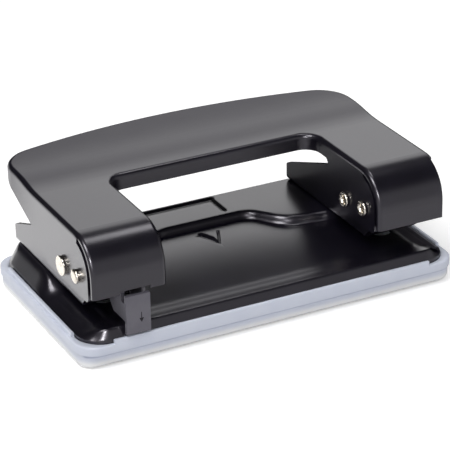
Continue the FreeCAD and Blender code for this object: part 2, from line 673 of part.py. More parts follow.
def make_pin(label, sign, head_radius, head_thick, y, z):
    """Pin across one arm: flat head outside, hollow flared end on the window side."""
    body = new_body(label)
    profile = sketch_on(body, "XZ_Plane", "Profile")
    outer = "hole_spacing/2 - lever_half"
    inner = "hole_spacing/2 - window_half"
    outline(profile, [
        (f"{outer} - {head_thick}", "0"),
        (f"{inner} - bore_depth", "0"),
        (f"{inner} - bore_depth", "bore_radius"),
        (inner, "bore_radius"),
        (f"{inner} + flare_length", "bore_radius + flare_mouth"),
        (f"{inner} + flare_length", "flare_radius - flare_lip"),
        (f"{inner} + flare_length/2", "flare_radius"),
        (inner, "flare_radius"),
        (inner, "pin_radius"),
        (outer, "pin_radius"),
        (outer, head_radius),
        (f"{outer} - {head_thick} + pin_chamfer", head_radius),
        (f"{outer} - {head_thick}", f"{head_radius} - pin_chamfer"),
    ])
    turned(body, "Revolution", profile, "H_Axis")
    place(body, x=f"{sign}*hole_spacing/2", y=y, z=z, turn=0 if sign < 0 else 180)
    return body


def make_pins(side, sign):
    """Fulcrum pin and drive pin of one arm."""
    drive_y = "fulcrum_y + pin_spacing*cos(rest_droop)"
    drive_z = "fulcrum_z - pin_spacing*sin(rest_droop)"
    return [
        make_pin(f"{side}_fulcrum_pin", sign, "fulcrum_head", "fulcrum_head_thick",
                 "fulcrum_y", "fulcrum_z"),
        make_pin(f"{side}_drive_pin", sign, "drive_head", "drive_head_thick", drive_y, drive_z),
    ]


# ---------------------------------------------------------------- lever

def lever_form(label, inset):
    """The lever as a solid block, drawn in by inset: its outer skin, or the hollow inside it."""
    body = new_body(label)
    block = sketch_on(body, "YZ_Plane", "Side")
    front = f"lever_front + {inset}"
    top = f"lever_top - {inset}"
    bar_top = f"rear_top - {inset}"
    bend = f"(front_bend - {inset})"
    rise_mid_y = "(rise_front_y + rise_rear_y)/2"
    rise_mid_z = f"(lever_top + rear_top)/2 - {inset}"
    half_run, half_rise = "(rise_rear_y - rise_front_y)/2", "(rear_top - lever_top)/2"
    rise_radius = f"(({half_run})^2 + ({half_rise})^2)/(2*{half_rise})"
    behind = "(rear_middle_y + lever_sheet)"
    if inset == "0":
        lower = [(front, "side_low"), ("side_rise_y", "side_low", "side_rise"),
                 ("side_slope_y", "side_slope_z"), ("side_end_y", "rear_low"), (behind, "rear_low")]
    else:
        lower = [(front, "0"), (behind, "0")]
    outline(block, [
        *lower,
        (behind, bar_top),
        ("rise_rear_y", bar_top, rise_radius),
        (rise_mid_y, rise_mid_z, f"-{rise_radius}"),
        ("rise_front_y", top),
        ("lever_front + front_bend", top, bend),
        (front, "lever_top - front_bend"),
    ])
    swept(body, "Pad", block, f"2*(lever_half - {inset})", both_ways=True)

    # round the rear in plan: a shallow bow between two corner bends
    sag = "(rear_middle_y - rear_side_y)"
    bow = f"((rear_side_x^2 + {sag}^2)/(2*{sag}))"
    lean = f"(rear_side_x/{bow})"
    upright = f"sqrt(1 - {lean}^2)"
    corner = f"((lever_half - rear_side_x)/(1 - {lean}))"
    start_y = f"(rear_side_y - {corner}*{upright})"
    end_x = f"(lever_half - {corner} + ({corner} - {inset})*{lean})"
    end_y = f"({start_y} + ({corner} - {inset})*{upright})"
    half = f"(lever_half - {inset})"
    rear = sketch_on(body, "XY_Plane", "RearOutline")
    outline(rear, [
        (half, start_y), (OUTSIDE, start_y), (OUTSIDE, OUTSIDE), (f"-{OUTSIDE}", OUTSIDE),
        (f"-{OUTSIDE}", start_y),
        (f"-{half}", start_y, f"-({corner} - {inset})"),
        (f"-{end_x}", end_y, f"-({bow} - {inset})"),
        (end_x, end_y, f"-({corner} - {inset})"),
    ])
    cut_away(body, rear, THROUGH, both_ways=True)

    window = sketch_on(body, "XY_Plane", "Window")
    side, back = f"(window_half + {inset})", f"(window_rear + {inset})"
    radius = f"(window_corner + {inset})"
    outline(window, [
        (f"-{side}", f"-{OUTSIDE}"), (side, f"-{OUTSIDE}"), (side, f"{back} - {radius}", radius),
        (f"{side} - {radius}", back), (f"-{side} + {radius}", back, radius),
        (f"-{side}", f"{back} - {radius}"),
    ])
    cut_away(body, window, THROUGH, both_ways=True)
    return body


def lever_slits(body):
    """Cut the side flanges free of the front flanges along the front bend, and trim the ends."""
    skin, gap = "(front_bend - lever_sheet)", "(front_bend - lever_sheet - slit)"
    bend_y, bend_z = "(lever_front + front_bend)", "(lever_top - front_bend)"
    band = sketch_on(body, "YZ_Plane", "Slits")
    outline(band, [
        (f"{bend_y} - {skin}", "0"),
        (f"{bend_y} - {gap}", "0"),
        (f"{bend_y} - {gap}", bend_z, f"-{gap}"),
        (f"{bend_y} - {gap}*sin(slit_end)", f"{bend_z} + {gap}*cos(slit_end)"),
        (f"{bend_y} - {skin}*sin(slit_end)", f"{bend_z} + {skin}*cos(slit_end)", skin),
        (f"{bend_y} - {skin}", bend_z),
    ])
    cut_away(body, band, THROUGH, both_ways=True)
    within, beyond = f"({skin} - slit/2)", "(front_bend + lever_sheet)"
    for side, lift, outwards in (("Right", "lever_half - right_trim", True),
                                 ("Left", "left_trim - lever_half", False)):
        end = sketch_on(body, "YZ_Plane", f"{side}End", lift)
        outline(end, [
            (f"{bend_y} - {beyond}", "0"),
            (f"{bend_y} - {within}", "0"),
            (f"{bend_y} - {within}", bend_z, f"-{within}"),
            (f"{bend_y} - {within}*sin(slit_end)", f"{bend_z} + {within}*cos(slit_end)"),
            (f"{bend_y} - {beyond}*sin(slit_end)", f"{bend_z} + {beyond}*cos(slit_end)"),
            (f"{bend_y} - {beyond}", f"{bend_z} + {beyond}*cos(slit_end)"),
        ])
        cut_away(body, end, THROUGH, backwards=outwards)


def make_lever():
    """Pressed lever: rear bar, two arms, and flanges down its outside and round its window."""
    skin = lever_form("lever_skin", "0")

    def top_edge(edge):
        box = edge.BoundBox
        high = box.ZMin > number("lever_top") - CLOSE and box.ZMax < number("rear_top") + CLOSE
        along_window = abs(middle(edge).y - number("window_rear")) < CLOSE
        seam = box.YLength < CLOSE and not along_window
        return high and not seam

    rounded(skin, "TopEdge", "edge_round", top_edge)
    lever_slits(skin)
    slit_rear = "(lever_front + lever_sheet + slit)"
    corners = sketch_on(skin, "YZ_Plane", "FlangeCorners")
    outline(corners, [
        (f"{slit_rear} - slit/2", "0"),
        (f"{slit_rear} + flange_corner", "0"),
        (f"{slit_rear} + flange_corner", "side_low", "-flange_corner"),
        (slit_rear, "side_low + flange_corner"),
        (f"{slit_rear} - slit/2", "side_low + flange_corner"),
    ])
    cut_away(skin, corners, THROUGH, both_ways=True)
    heel = sketch_on(skin, "YZ_Plane", "WindowFlange")
    heel_rear = "window_rear + window_corner"
    outline(heel, [("heel_y", "0"), (heel_rear, "0"), (heel_rear, "window_low"),
                   ("heel_y + heel_corner", "window_low", "heel_corner"),
                   ("heel_y", "window_low - heel_corner")])
    cut_away(skin, heel, "2*(window_half + 2*lever_sheet)", both_ways=True)
    apron = sketch_on(skin, "YZ_Plane", "FrontFlange")
    apron_front, apron_rear = "lever_front - lever_sheet", "lever_front + lever_sheet + slit/2"
    outline(apron, [(apron_front, "0"), (apron_rear, "0"),
                    (apron_rear, "front_low"), (apron_front, "front_low")])
    cut_away(skin, apron, THROUGH, both_ways=True)
    notch = sketch_on(skin, "XZ_Plane", "LatchNotch")
    notch_left, notch_right = "latch_left - notch_gap", "latch_right + notch_gap"
    outline(notch, [(notch_left, "0"), (notch_right, "0"),
                    (notch_right, "front_low + notch_gap"), (notch_left, "front_low + notch_gap")])
    cut_away(skin, notch, THROUGH, both_ways=True)
    pins = sketch_on(skin, "YZ_Plane", "PinHoles")
    ring(pins, "fulcrum_y", "fulcrum_z", "pin_radius + pin_fit")
    ring(pins, "fulcrum_y + pin_spacing*cos(rest_droop)",
         "fulcrum_z - pin_spacing*sin(rest_droop)", "pin_radius + pin_fit")
    cut_away(skin, pins, THROUGH, both_ways=True)
    return difference("lever_handle", skin, lever_form("lever_hollow", "lever_sheet"))


# ---------------------------------------------------------------- lock latch

def make_latch():
    """Bent sheet: a face in front of the left arm and two ears that slide on the fulcrum pin."""
    body = new_body("lock_latch")
    back = "latch_front + latch_sheet"
    side = sketch_on(body, "YZ_Plane", "Ears")
    ear_rear, ear_front = "fulcrum_y + pin_radius + ear_width", "fulcrum_y - pin_radius - ear_width"
    ear_top = "fulcrum_z + pin_radius + ear_width"
    throat_y = "lever_front + lever_sheet + throat_gap"
    throat_z = "latch_top - latch_travel + throat_spare"
    outline(side, [
        ("latch_front", "latch_low"),
        (back, "latch_low"),
        (back, "latch_ear_low"),
        (f"{ear_front} + ear_slope_y", "latch_ear_low"),
        (ear_rear, "latch_ear_low + ear_slope_z"),
        (ear_rear, ear_top),
        (ear_front, ear_top),
        (f"{ear_front} - ear_width", "fulcrum_z"),
        (throat_y, "latch_top"),
        (throat_y, throat_z),
        (back, throat_z),
        (back, "latch_top"),
        ("latch_front", "latch_top"),
    ])
    swept(body, "Pad", side, "latch_right - latch_left", both_ways=True)
    between = sketch_on(body, "XY_Plane", "Between")
    half = "(latch_right - latch_left)/2 - latch_sheet"
    outline(between, [(f"-({half})", back), (half, back), (half, "0"), (f"-({half})", "0")])
    cut_away(body, between, THROUGH, both_ways=True)
    slot = sketch_on(body, "YZ_Plane", "PinSlots")
    reach = "(pin_radius + run_gap)"
    low, high = "fulcrum_z - latch_travel - latch_spare", "fulcrum_z + latch_spare"
    outline(slot, [
        (f"fulcrum_y - {reach}", low, slot_end(reach)),
        (f"fulcrum_y + {reach}", low),
        (f"fulcrum_y + {reach}", high, slot_end(reach)),
        (f"fulcrum_y - {reach}", high),
    ])
    cut_away(body, slot, THROUGH, both_ways=True)
    place(body, x="(latch_left + latch_right)/2")
    return body


# ---------------------------------------------------------------- chip tray

def make_tray():
    """Soft tray: a narrow foot, a wide band that hugs the base skirt, and straight lips on top."""
    body = new_body("chip_tray")

    def plan(name, lift, half_x, half_y, corner):
        sketch = sketch_on(body, "XY_Plane", name, lift)
        rounded_box(sketch, f"-({half_x})", f"-({half_y})", half_x, half_y, corner)
        return sketch

    foot = plan("Foot", "0", "tray_foot_x", "tray_foot_y", "tray_foot_corner")
    swept(body, "Pad", foot, "tray_flare_z")
    rounded(body, "BottomEdge", "tray_edge", lambda edge: abs(edge.BoundBox.ZMax) < CLOSE)
    loft(body, plan("FlareLow", "tray_flare_z", "tray_foot_x", "tray_foot_y", "tray_foot_corner"),
         plan("FlareHigh", "tray_band_z", "tray_x", "tray_y", "tray_corner"))
    band = plan("Band", "tray_band_z", "tray_x", "tray_y", "tray_corner")
    swept(body, "Pad", band, "tray_wall_z - tray_band_z")
    rounded(body, "BandEdge", "tray_soft",
            lambda edge: abs(edge.BoundBox.ZMin - number("tray_wall_z")) < CLOSE)

    inner_x, inner_y = "foot_x + tray_gap", "foot_y + tray_gap"
    for sign in ("-", ""):
        front, rear = sorted((f"{sign}({inner_y})", f"{sign}({inner_y} + lip_gauge)"), key=number)
        long_name, short_name = ("FrontLip", "LeftLip") if sign else ("RearLip", "RightLip")
        long_lip = sketch_on(body, "XY_Plane", long_name, "tray_band_z")
        outline(long_lip, [("-lip_half_x", front), ("lip_half_x", front), ("lip_half_x", rear),
                           ("-lip_half_x", rear)])
        swept(body, "Pad", long_lip, "tray_lip_z - tray_band_z")
        left, right = sorted((f"{sign}({inner_x})", f"{sign}({inner_x} + lip_gauge)"), key=number)
        short_lip = sketch_on(body, "XY_Plane", short_name, "tray_band_z")
        outline(short_lip, [(left, "-lip_half_y"), (right, "-lip_half_y"), (right, "lip_half_y"),
                            (left, "lip_half_y")])
        swept(body, "Pad", short_lip, "tray_lip_z - tray_band_z")
    doc.recompute()
    well = plan("Well", "tray_gauge", "tray_foot_x - tray_gauge", "tray_foot_y - tray_gauge",
                "tray_foot_corner - tray_gauge")
    cut_away(body, well, "foot_z - tray_gauge", backwards=True)
    seat = plan("Seat", "foot_z", inner_x, inner_y, "foot_radius + tray_gap")
    cut_away(body, seat, THROUGH, backwards=True)
    return body


# ---------------------------------------------------------------- build and write

parts = [make_tray(), make_base(), make_lever(), make_latch()]
for side, sign in (("left", -1), ("right", 1)):
    parts.append(make_bracket(side, sign))
    parts.append(make_bracket_rivets(side, sign))
    parts.append(make_punch(side, sign))
    parts.append(make_spring(side, sign))
    parts.append(make_spring_cap(side, sign))
    parts.append(make_punch_clip(side, sign))
    parts.extend(make_pins(side, sign))
doc.recompute()

for thing in doc.Objects:
    if {"Invalid", "Error"} & set(thing.State):
        raise RuntimeError(f"{thing.Label} failed: {thing.State}")
for part in parts:
    if part.Shape.isNull() or not part.Shape.isValid():
        raise RuntimeError(f"{part.Label} has no valid shape")

os.makedirs("parts", exist_ok=True)
for part in parts:
    part.Shape.exportStep(f"parts/{part.Label}.step")
    box = part.Shape.BoundBox
    print(f"{part.Label}: {len(part.Shape.Solids)} solid(s), {part.Shape.Volume:.1f} mm3, "
          f"x {box.XMin:.1f}..{box.XMax:.1f} y {box.YMin:.1f}..{box.YMax:.1f} "
          f"z {box.ZMin:.1f}..{box.ZMax:.1f}")
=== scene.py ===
"""A desk punch for two holes, dressed in paint, plastic and plated steel around its packed construction."""
import json
import logging
import math
from dataclasses import dataclass
from enum import Enum
from typing import Optional, Union

import bmesh
import bpy
import numpy as np
from mathutils import Matrix, Vector

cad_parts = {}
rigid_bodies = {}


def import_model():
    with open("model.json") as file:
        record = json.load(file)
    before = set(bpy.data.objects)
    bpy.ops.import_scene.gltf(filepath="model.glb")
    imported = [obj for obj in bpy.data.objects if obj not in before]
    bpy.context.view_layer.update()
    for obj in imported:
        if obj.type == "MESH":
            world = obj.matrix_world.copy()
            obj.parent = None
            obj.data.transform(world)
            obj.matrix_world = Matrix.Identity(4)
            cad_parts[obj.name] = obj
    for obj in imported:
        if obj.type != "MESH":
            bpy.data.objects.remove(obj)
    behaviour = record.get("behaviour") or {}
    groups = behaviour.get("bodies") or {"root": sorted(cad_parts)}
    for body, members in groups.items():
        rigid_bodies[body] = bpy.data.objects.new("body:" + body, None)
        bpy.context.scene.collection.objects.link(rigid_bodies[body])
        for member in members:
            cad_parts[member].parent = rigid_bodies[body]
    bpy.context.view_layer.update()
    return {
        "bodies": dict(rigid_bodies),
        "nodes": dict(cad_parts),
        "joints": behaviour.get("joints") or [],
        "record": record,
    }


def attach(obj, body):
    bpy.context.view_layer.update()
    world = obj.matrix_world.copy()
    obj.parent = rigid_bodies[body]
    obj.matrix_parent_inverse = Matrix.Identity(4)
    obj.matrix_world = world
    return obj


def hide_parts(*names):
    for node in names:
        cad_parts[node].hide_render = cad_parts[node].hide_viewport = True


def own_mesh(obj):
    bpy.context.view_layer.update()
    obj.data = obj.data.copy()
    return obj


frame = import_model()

MM = 0.001
MERGE = 1e-6
FLOOR_DROP = -0.2 * MM
LOG = logging.getLogger("desk_punch")
RIGHTWARD = (1.0, 0.0, 0.0)
LEFTWARD = (-1.0, 0.0, 0.0)
FORWARD = (0.0, -1.0, 0.0)
REARWARD = (0.0, 1.0, 0.0)
UPWARD = (0.0, 0.0, 1.0)

RAMP_LIMITS = (-2.0, 3.0)
TURN_STEPS = 48
SHARP_ANGLE = 40.0
TINY_LENGTH = 1e-9
TINY_AREA = 1e-12

Triple = tuple[float, float, float]
Colour = Triple
Pair = tuple[float, float]
Number = Union[int, float]
Grid = np.ndarray


class Slot(Enum):
    """The record's material slots."""

    PAINT = "black_paint"
    PLASTIC = "milky_plastic"
    NICKEL = "nickel"
    TOOL = "tool_steel"
    SPRING = "spring_steel"
    RIVET = "rivet_steel"


class Body(Enum):
    """The bodies of the construction that new pieces ride on."""

    TRAY = "tray"
    FRAME = "frame"
    LEVER = "lever"
    LATCH = "latch"


class Value:
    """A node socket that takes part in arithmetic: each operator adds one Math node to its graph."""

    def __init__(self, graph: "Graph", socket: bpy.types.NodeSocket) -> None:
        """Holds the socket and the graph that it belongs to.

        Args:
            graph: the material's graph, which adds the Math nodes.
            socket: the output socket that gives the value.
        """
        self.graph = graph
        self.socket = socket

    def maths(self, operation: str, *others: "Operand") -> "Value":
        """Adds a Math node with this value as its first input.

        Args:
            operation: the Math node's operation.
            others: the node's other inputs, values or numbers.

        Returns:
            The node's result.
        """
        return self.graph.maths(operation, self, *others)

    def __add__(self, other: "Operand") -> "Value":
        """The sum of this value and the other."""
        return self.maths("ADD", other)

    __radd__ = __add__

    def __sub__(self, other: "Operand") -> "Value":
        """This value less the other."""
        return self.maths("SUBTRACT", other)

    def __rsub__(self, other: "Operand") -> "Value":
        """The other less this value."""
        return self.graph.maths("SUBTRACT", other, self)

    def __mul__(self, other: "Operand") -> "Value":
        """The product of this value and the other."""
        return self.maths("MULTIPLY", other)

    __rmul__ = __mul__

    def __truediv__(self, other: "Operand") -> "Value":
        """This value over the other."""
        return self.maths("DIVIDE", other)

    def __rtruediv__(self, other: "Operand") -> "Value":
        """The other over this value."""
        return self.graph.maths("DIVIDE", other, self)

    def ramp(self, low: float, high: float) -> "Value":
        """A smooth step from 0 at low to 1 at high.

        Args:
            low: the value where the step starts.
            high: the value where the step ends.

        Returns:
            The step, from 0 to 1.
        """
        settings = {"interpolation_type": "SMOOTHSTEP"}
        inputs = {"Value": self, "From Min": low, "From Max": high}
        node = self.graph.node("ShaderNodeMapRange", settings, inputs)
        return Value(self.graph, node.outputs["Result"])


Operand = Union[Value, Number]


class Graph:
    """The nodes of one material or of the world."""

    def __init__(self, owner: Union[bpy.types.Material, bpy.types.World]) -> None:
        """Empties the owner's nodes and adds its output.

        Args:
            owner: a new material or world.
        """
        self.owner = owner
        owner.use_nodes = True
        self.tree = owner.node_tree
        self.tree.nodes.clear()
        kind = "World" if isinstance(owner, bpy.types.World) else "Material"
        self.output = self.tree.nodes.new("ShaderNodeOutput" + kind)

    def node(self, kind: str, settings: dict, inputs: dict) -> bpy.types.Node:
        """Adds a node, sets what it is first, and then fills its sockets.

        Args:
            kind: the node's type.
            settings: attributes of the node, such as an operation.
            inputs: a number, tuple, Value or socket for each input, by name or index.

        Returns:
            The new node.
        """
        made = self.tree.nodes.new(kind)
        for name, value in settings.items():
            setattr(made, name, value)
        for name, value in inputs.items():
            self.feed(made.inputs[name], value)
        return made

    def feed(self, socket: bpy.types.NodeSocket, value: object) -> None:
        """Links a value or socket to an input, or sets the input to a constant.

        Args:
            socket: the input.
            value: what goes into it.
        """
        if isinstance(value, Value):
            self.tree.links.new(value.socket, socket)
        elif isinstance(value, bpy.types.NodeSocket):
            self.tree.links.new(value, socket)
        elif isinstance(value, tuple) and len(value) == 3 and socket.type == "RGBA":
            socket.default_value = (*value, 1.0)
        else:
            socket.default_value = value

    def maths(self, operation: str, *operands: Operand) -> Value:
        """Adds a Math node.

        Args:
            operation: the node's operation.
            operands: its inputs in order.

        Returns:
            The node's result.
        """
        inputs = dict(enumerate(operands))
        made = self.node("ShaderNodeMath", {"operation": operation}, inputs)
        return Value(self, made.outputs["Value"])

    def place(self) -> bpy.types.NodeSocket:
        """The point on the piece, in metres in the shared frame."""
        return self.node("ShaderNodeTexCoord", {}, {}).outputs["Object"]

    def along(self, way: Triple, place: Optional[bpy.types.NodeSocket] = None) -> Value:
        """How far a point lies along a direction: their dot product.

        Args:
            way: the direction.
            place: the point, or None for the point on the piece.

        Returns:
            The distance.
        """
        inputs = {0: place or self.place(), 1: way}
        made = self.node("ShaderNodeVectorMath", {"operation": "DOT_PRODUCT"}, inputs)
        return Value(self, made.outputs["Value"])

    def rays(self) -> tuple[Value, Value]:
        """Tells the kinds of ray apart.

        Returns:
            1 for a ray of the camera, straight or through something clear, and 1 for a mirrored one.
        """
        path = self.node("ShaderNodeLightPath", {}, {})
        names = ("Is Camera Ray", "Is Transmission Ray", "Is Glossy Ray")
        seen, through, mirrored = (Value(self, path.outputs[name]) for name in names)
        return (seen + through).maths("MINIMUM", 1.0), mirrored

    def noise(self, size: float, detail: float) -> Value:
        """Cloudy noise from 0 to 1.

        Args:
            size: the width of one cloud, in metres.
            detail: how many finer layers it has.

        Returns:
            The noise.
        """
        scale = (1.0 / size,) * 3
        mapped = self.node("ShaderNodeMapping", {}, {"Vector": self.place(), "Scale": scale})
        inputs = {"Vector": mapped.outputs["Vector"], "Scale": 1.0, "Detail": detail}
        made = self.node("ShaderNodeTexNoise", {}, inputs)
        return Value(self, made.outputs[0])

    def mix(self, share: Operand, first: object, second: object) -> bpy.types.NodeSocket:
        """Mixes two colours.

        Args:
            share: how much of the second there is.
            first: a colour or colour socket.
            second: a colour or colour socket.

        Returns:
            The mixed colour.
        """
        made = self.node("ShaderNodeMix", {"data_type": "RGBA"}, {})
        self.feed(made.inputs["Factor"], share)
        colours = [socket for socket in made.inputs if socket.type == "RGBA"]
        self.feed(colours[0], first)
        self.feed(colours[1], second)
        return next(socket for socket in made.outputs if socket.type == "RGBA")

    def bump(self, height: Value, depth: float) -> bpy.types.NodeSocket:
        """Turns a height from 0 to 1 into a bent normal.

        Args:
            height: the height.
            depth: what a height of 1 stands for, in metres.

        Returns:
            The normal.
        """
        inputs = {"Height": height, "Distance": depth, "Strength": 1.0}
        return self.node("ShaderNodeBump", {}, inputs).outputs["Normal"]

    def surface(self, **inputs: object) -> bpy.types.Node:
        """Adds the shader that the material ends in.

        Args:
            inputs: the shader's sockets, with spaces in their names written as underscores.

        Returns:
            The shader's node.
        """
        named = {name.replace("_", " "): value for name, value in inputs.items()}
        made = self.node("ShaderNodeBsdfPrincipled", {}, named)
        self.tree.links.new(made.outputs["BSDF"], self.output.inputs["Surface"])
        return made

    def backdrop(self, strength: Value) -> None:
        """Ends a world in white of some strength.

        Args:
            strength: how bright each direction is.
        """
        inputs = {"Color": (1.0, 1.0, 1.0), "Strength": strength}
        made = self.node("ShaderNodeBackground", {}, inputs)
        self.tree.links.new(made.outputs["Background"], self.output.inputs["Surface"])


def smooth_least(first: Grid, second: Union[Grid, float], soft: float) -> Grid:
    """The smaller of two heights, rounded where they cross.

    Where they differ by less than soft, a quarter parabola of that width joins them.

    Args:
        first: heights.
        second: other heights.
        soft: the width of the rounding, in the unit of the heights.

    Returns:
        The rounded smaller height.
    """
    share = np.clip(0.5 + 0.5 * (second - first) / soft, 0.0, 1.0)
    return second + (first - second) * share - soft * share * (1.0 - share)


def soft_ramp(across: Grid, soft: float) -> Grid:
    """A ramp from 0 to 1 over across from 0 to 1, with both of its ends rounded.

    Args:
        across: where on the ramp each point is.
        soft: the width of each rounding.

    Returns:
        The ramp's height.
    """
    low = -smooth_least(-np.clip(across, *RAMP_LIMITS), 0.0, soft)
    return smooth_least(low, 1.0, soft)


def blend(sides: Union[float, Grid], ends: float, share: Grid) -> Grid:
    """A size that differs between the sides, where the share is 1, and the front and rear."""
    return sides * share + ends * (1 - share)


def lines(start: float, *stretches: tuple[float, int]) -> Grid:
    """Places of grid lines: each stretch goes on from the last one in equal steps.

    Args:
        start: the first place.
        stretches: where each stretch ends, and its count of steps.

    Returns:
        The places, each once.
    """
    starts = [start, *(end for end, _ in stretches)]
    pairs = zip(starts, stretches)
    parts = [np.linspace(first, last, count + 1)[1:] for first, (last, count) in pairs]
    return np.concatenate([[start], *parts])


def inner_skin(points: Grid, gauge: float) -> Grid:
    """Moves a grid's points against its normal, which is the cross product of its two slopes.

    Args:
        points: rows by columns by three.
        gauge: how far.

    Returns:
        The moved points.
    """
    normal = np.cross(np.gradient(points, axis=1), np.gradient(points, axis=0))
    normal /= np.maximum(np.linalg.norm(normal, axis=2, keepdims=True), TINY_AREA)
    return points - gauge * normal


def strip(first: Grid, second: Grid) -> Grid:
    """A patch of one row of faces between two lines of points."""
    return np.stack([first, second])


def spun(outline: list[Pair], centre: Triple, axis: Triple, count: int = TURN_STEPS) -> Grid:
    """Turns an outline about an axis: at angle t its point (r, a) lies at r cos t, r sin t and a.

    Args:
        outline: distance from the axis and place along it, with the solid on the axis's side.
        centre: where the axis's own zero is.
        axis: the axis's unit vector.
        count: how many steps the turn has.

    Returns:
        Outline points by angles by three.
    """
    along = np.array(axis)
    helper = np.array([0.0, 0.0, 1.0]) if abs(along[2]) < 0.5 else np.array([0.0, 1.0, 0.0])
    first = np.cross(helper, along)
    second = np.cross(along, first)
    turn = np.linspace(0.0, 2 * math.pi, count + 1)
    ring = np.cos(turn)[:, None] * first + np.sin(turn)[:, None] * second
    line = np.array(outline)
    return np.array(centre) + line[:, None, :1] * ring + line[:, None, 1:] * along


def grid_faces(patch: Grid, kept: Optional[Grid], start: int) -> Grid:
    """Corner numbers of a patch's faces, which face along columns cross rows.

    Args:
        patch: rows by columns by three.
        kept: which faces there are, or None for all.
        start: the number of the patch's first point.

    Returns:
        Faces by four.
    """
    rows, columns = patch.shape[:2]
    number = start + np.arange(rows * columns).reshape(rows, columns)
    corners = [number[:-1, :-1], number[:-1, 1:], number[1:, 1:], number[1:, :-1]]
    faces = np.stack(corners, axis=-1)
    return faces.reshape(-1, 4) if kept is None else faces[kept]


def place_object(name: str, data: bpy.types.ID) -> bpy.types.Object:
    """Makes an object at the origin and puts it in the scene.

    Args:
        name: its name.
        data: its mesh, light or camera.

    Returns:
        The object.
    """
    made = bpy.data.objects.new(name, data)
    bpy.context.scene.collection.objects.link(made)
    return made


class Piece:
    """Gathers patches of points in millimetres and makes one closed mesh of them."""

    def __init__(self, name: str) -> None:
        """Starts with no patch.

        Args:
            name: the piece's name.
        """
        self.name = name
        self.points: list[Grid] = []
        self.faces: list[Grid] = []
        self.count = 0

    def add(self, patch: Grid, flipped: bool = False, kept: Optional[Grid] = None) -> None:
        """Adds a patch.

        Args:
            patch: rows by columns by three.
            flipped: whether it faces the other way.
            kept: which of its faces there are, or None for all.
        """
        faces = grid_faces(patch, kept, self.count)
        self.faces.append(faces[:, ::-1] if flipped else faces)
        self.points.append(patch.reshape(-1, 3))
        self.count += patch.shape[0] * patch.shape[1]

    def mesh(self, sharp: float = SHARP_ANGLE) -> bpy.types.Object:
        """Makes the object: points that coincide are merged, which closes seams and poles.

        Args:
            sharp: the angle past which an edge is drawn sharp, in degrees.

        Returns:
            The object, at the origin.
        """
        mesh = bpy.data.meshes.new(self.name)
        places = np.concatenate(self.points) * MM
        mesh.from_pydata(places.tolist(), [], np.concatenate(self.faces).tolist())
        merged = bmesh.new()
        merged.from_mesh(mesh)
        bmesh.ops.remove_doubles(merged, verts=merged.verts, dist=MERGE)
        merged.to_mesh(mesh)
        merged.free()
        mesh.shade_smooth()
        mesh.set_sharp_from_angle(angle=math.radians(sharp))
        LOG.info("%s: %d faces", self.name, len(mesh.polygons))
        return place_object(self.name, mesh)


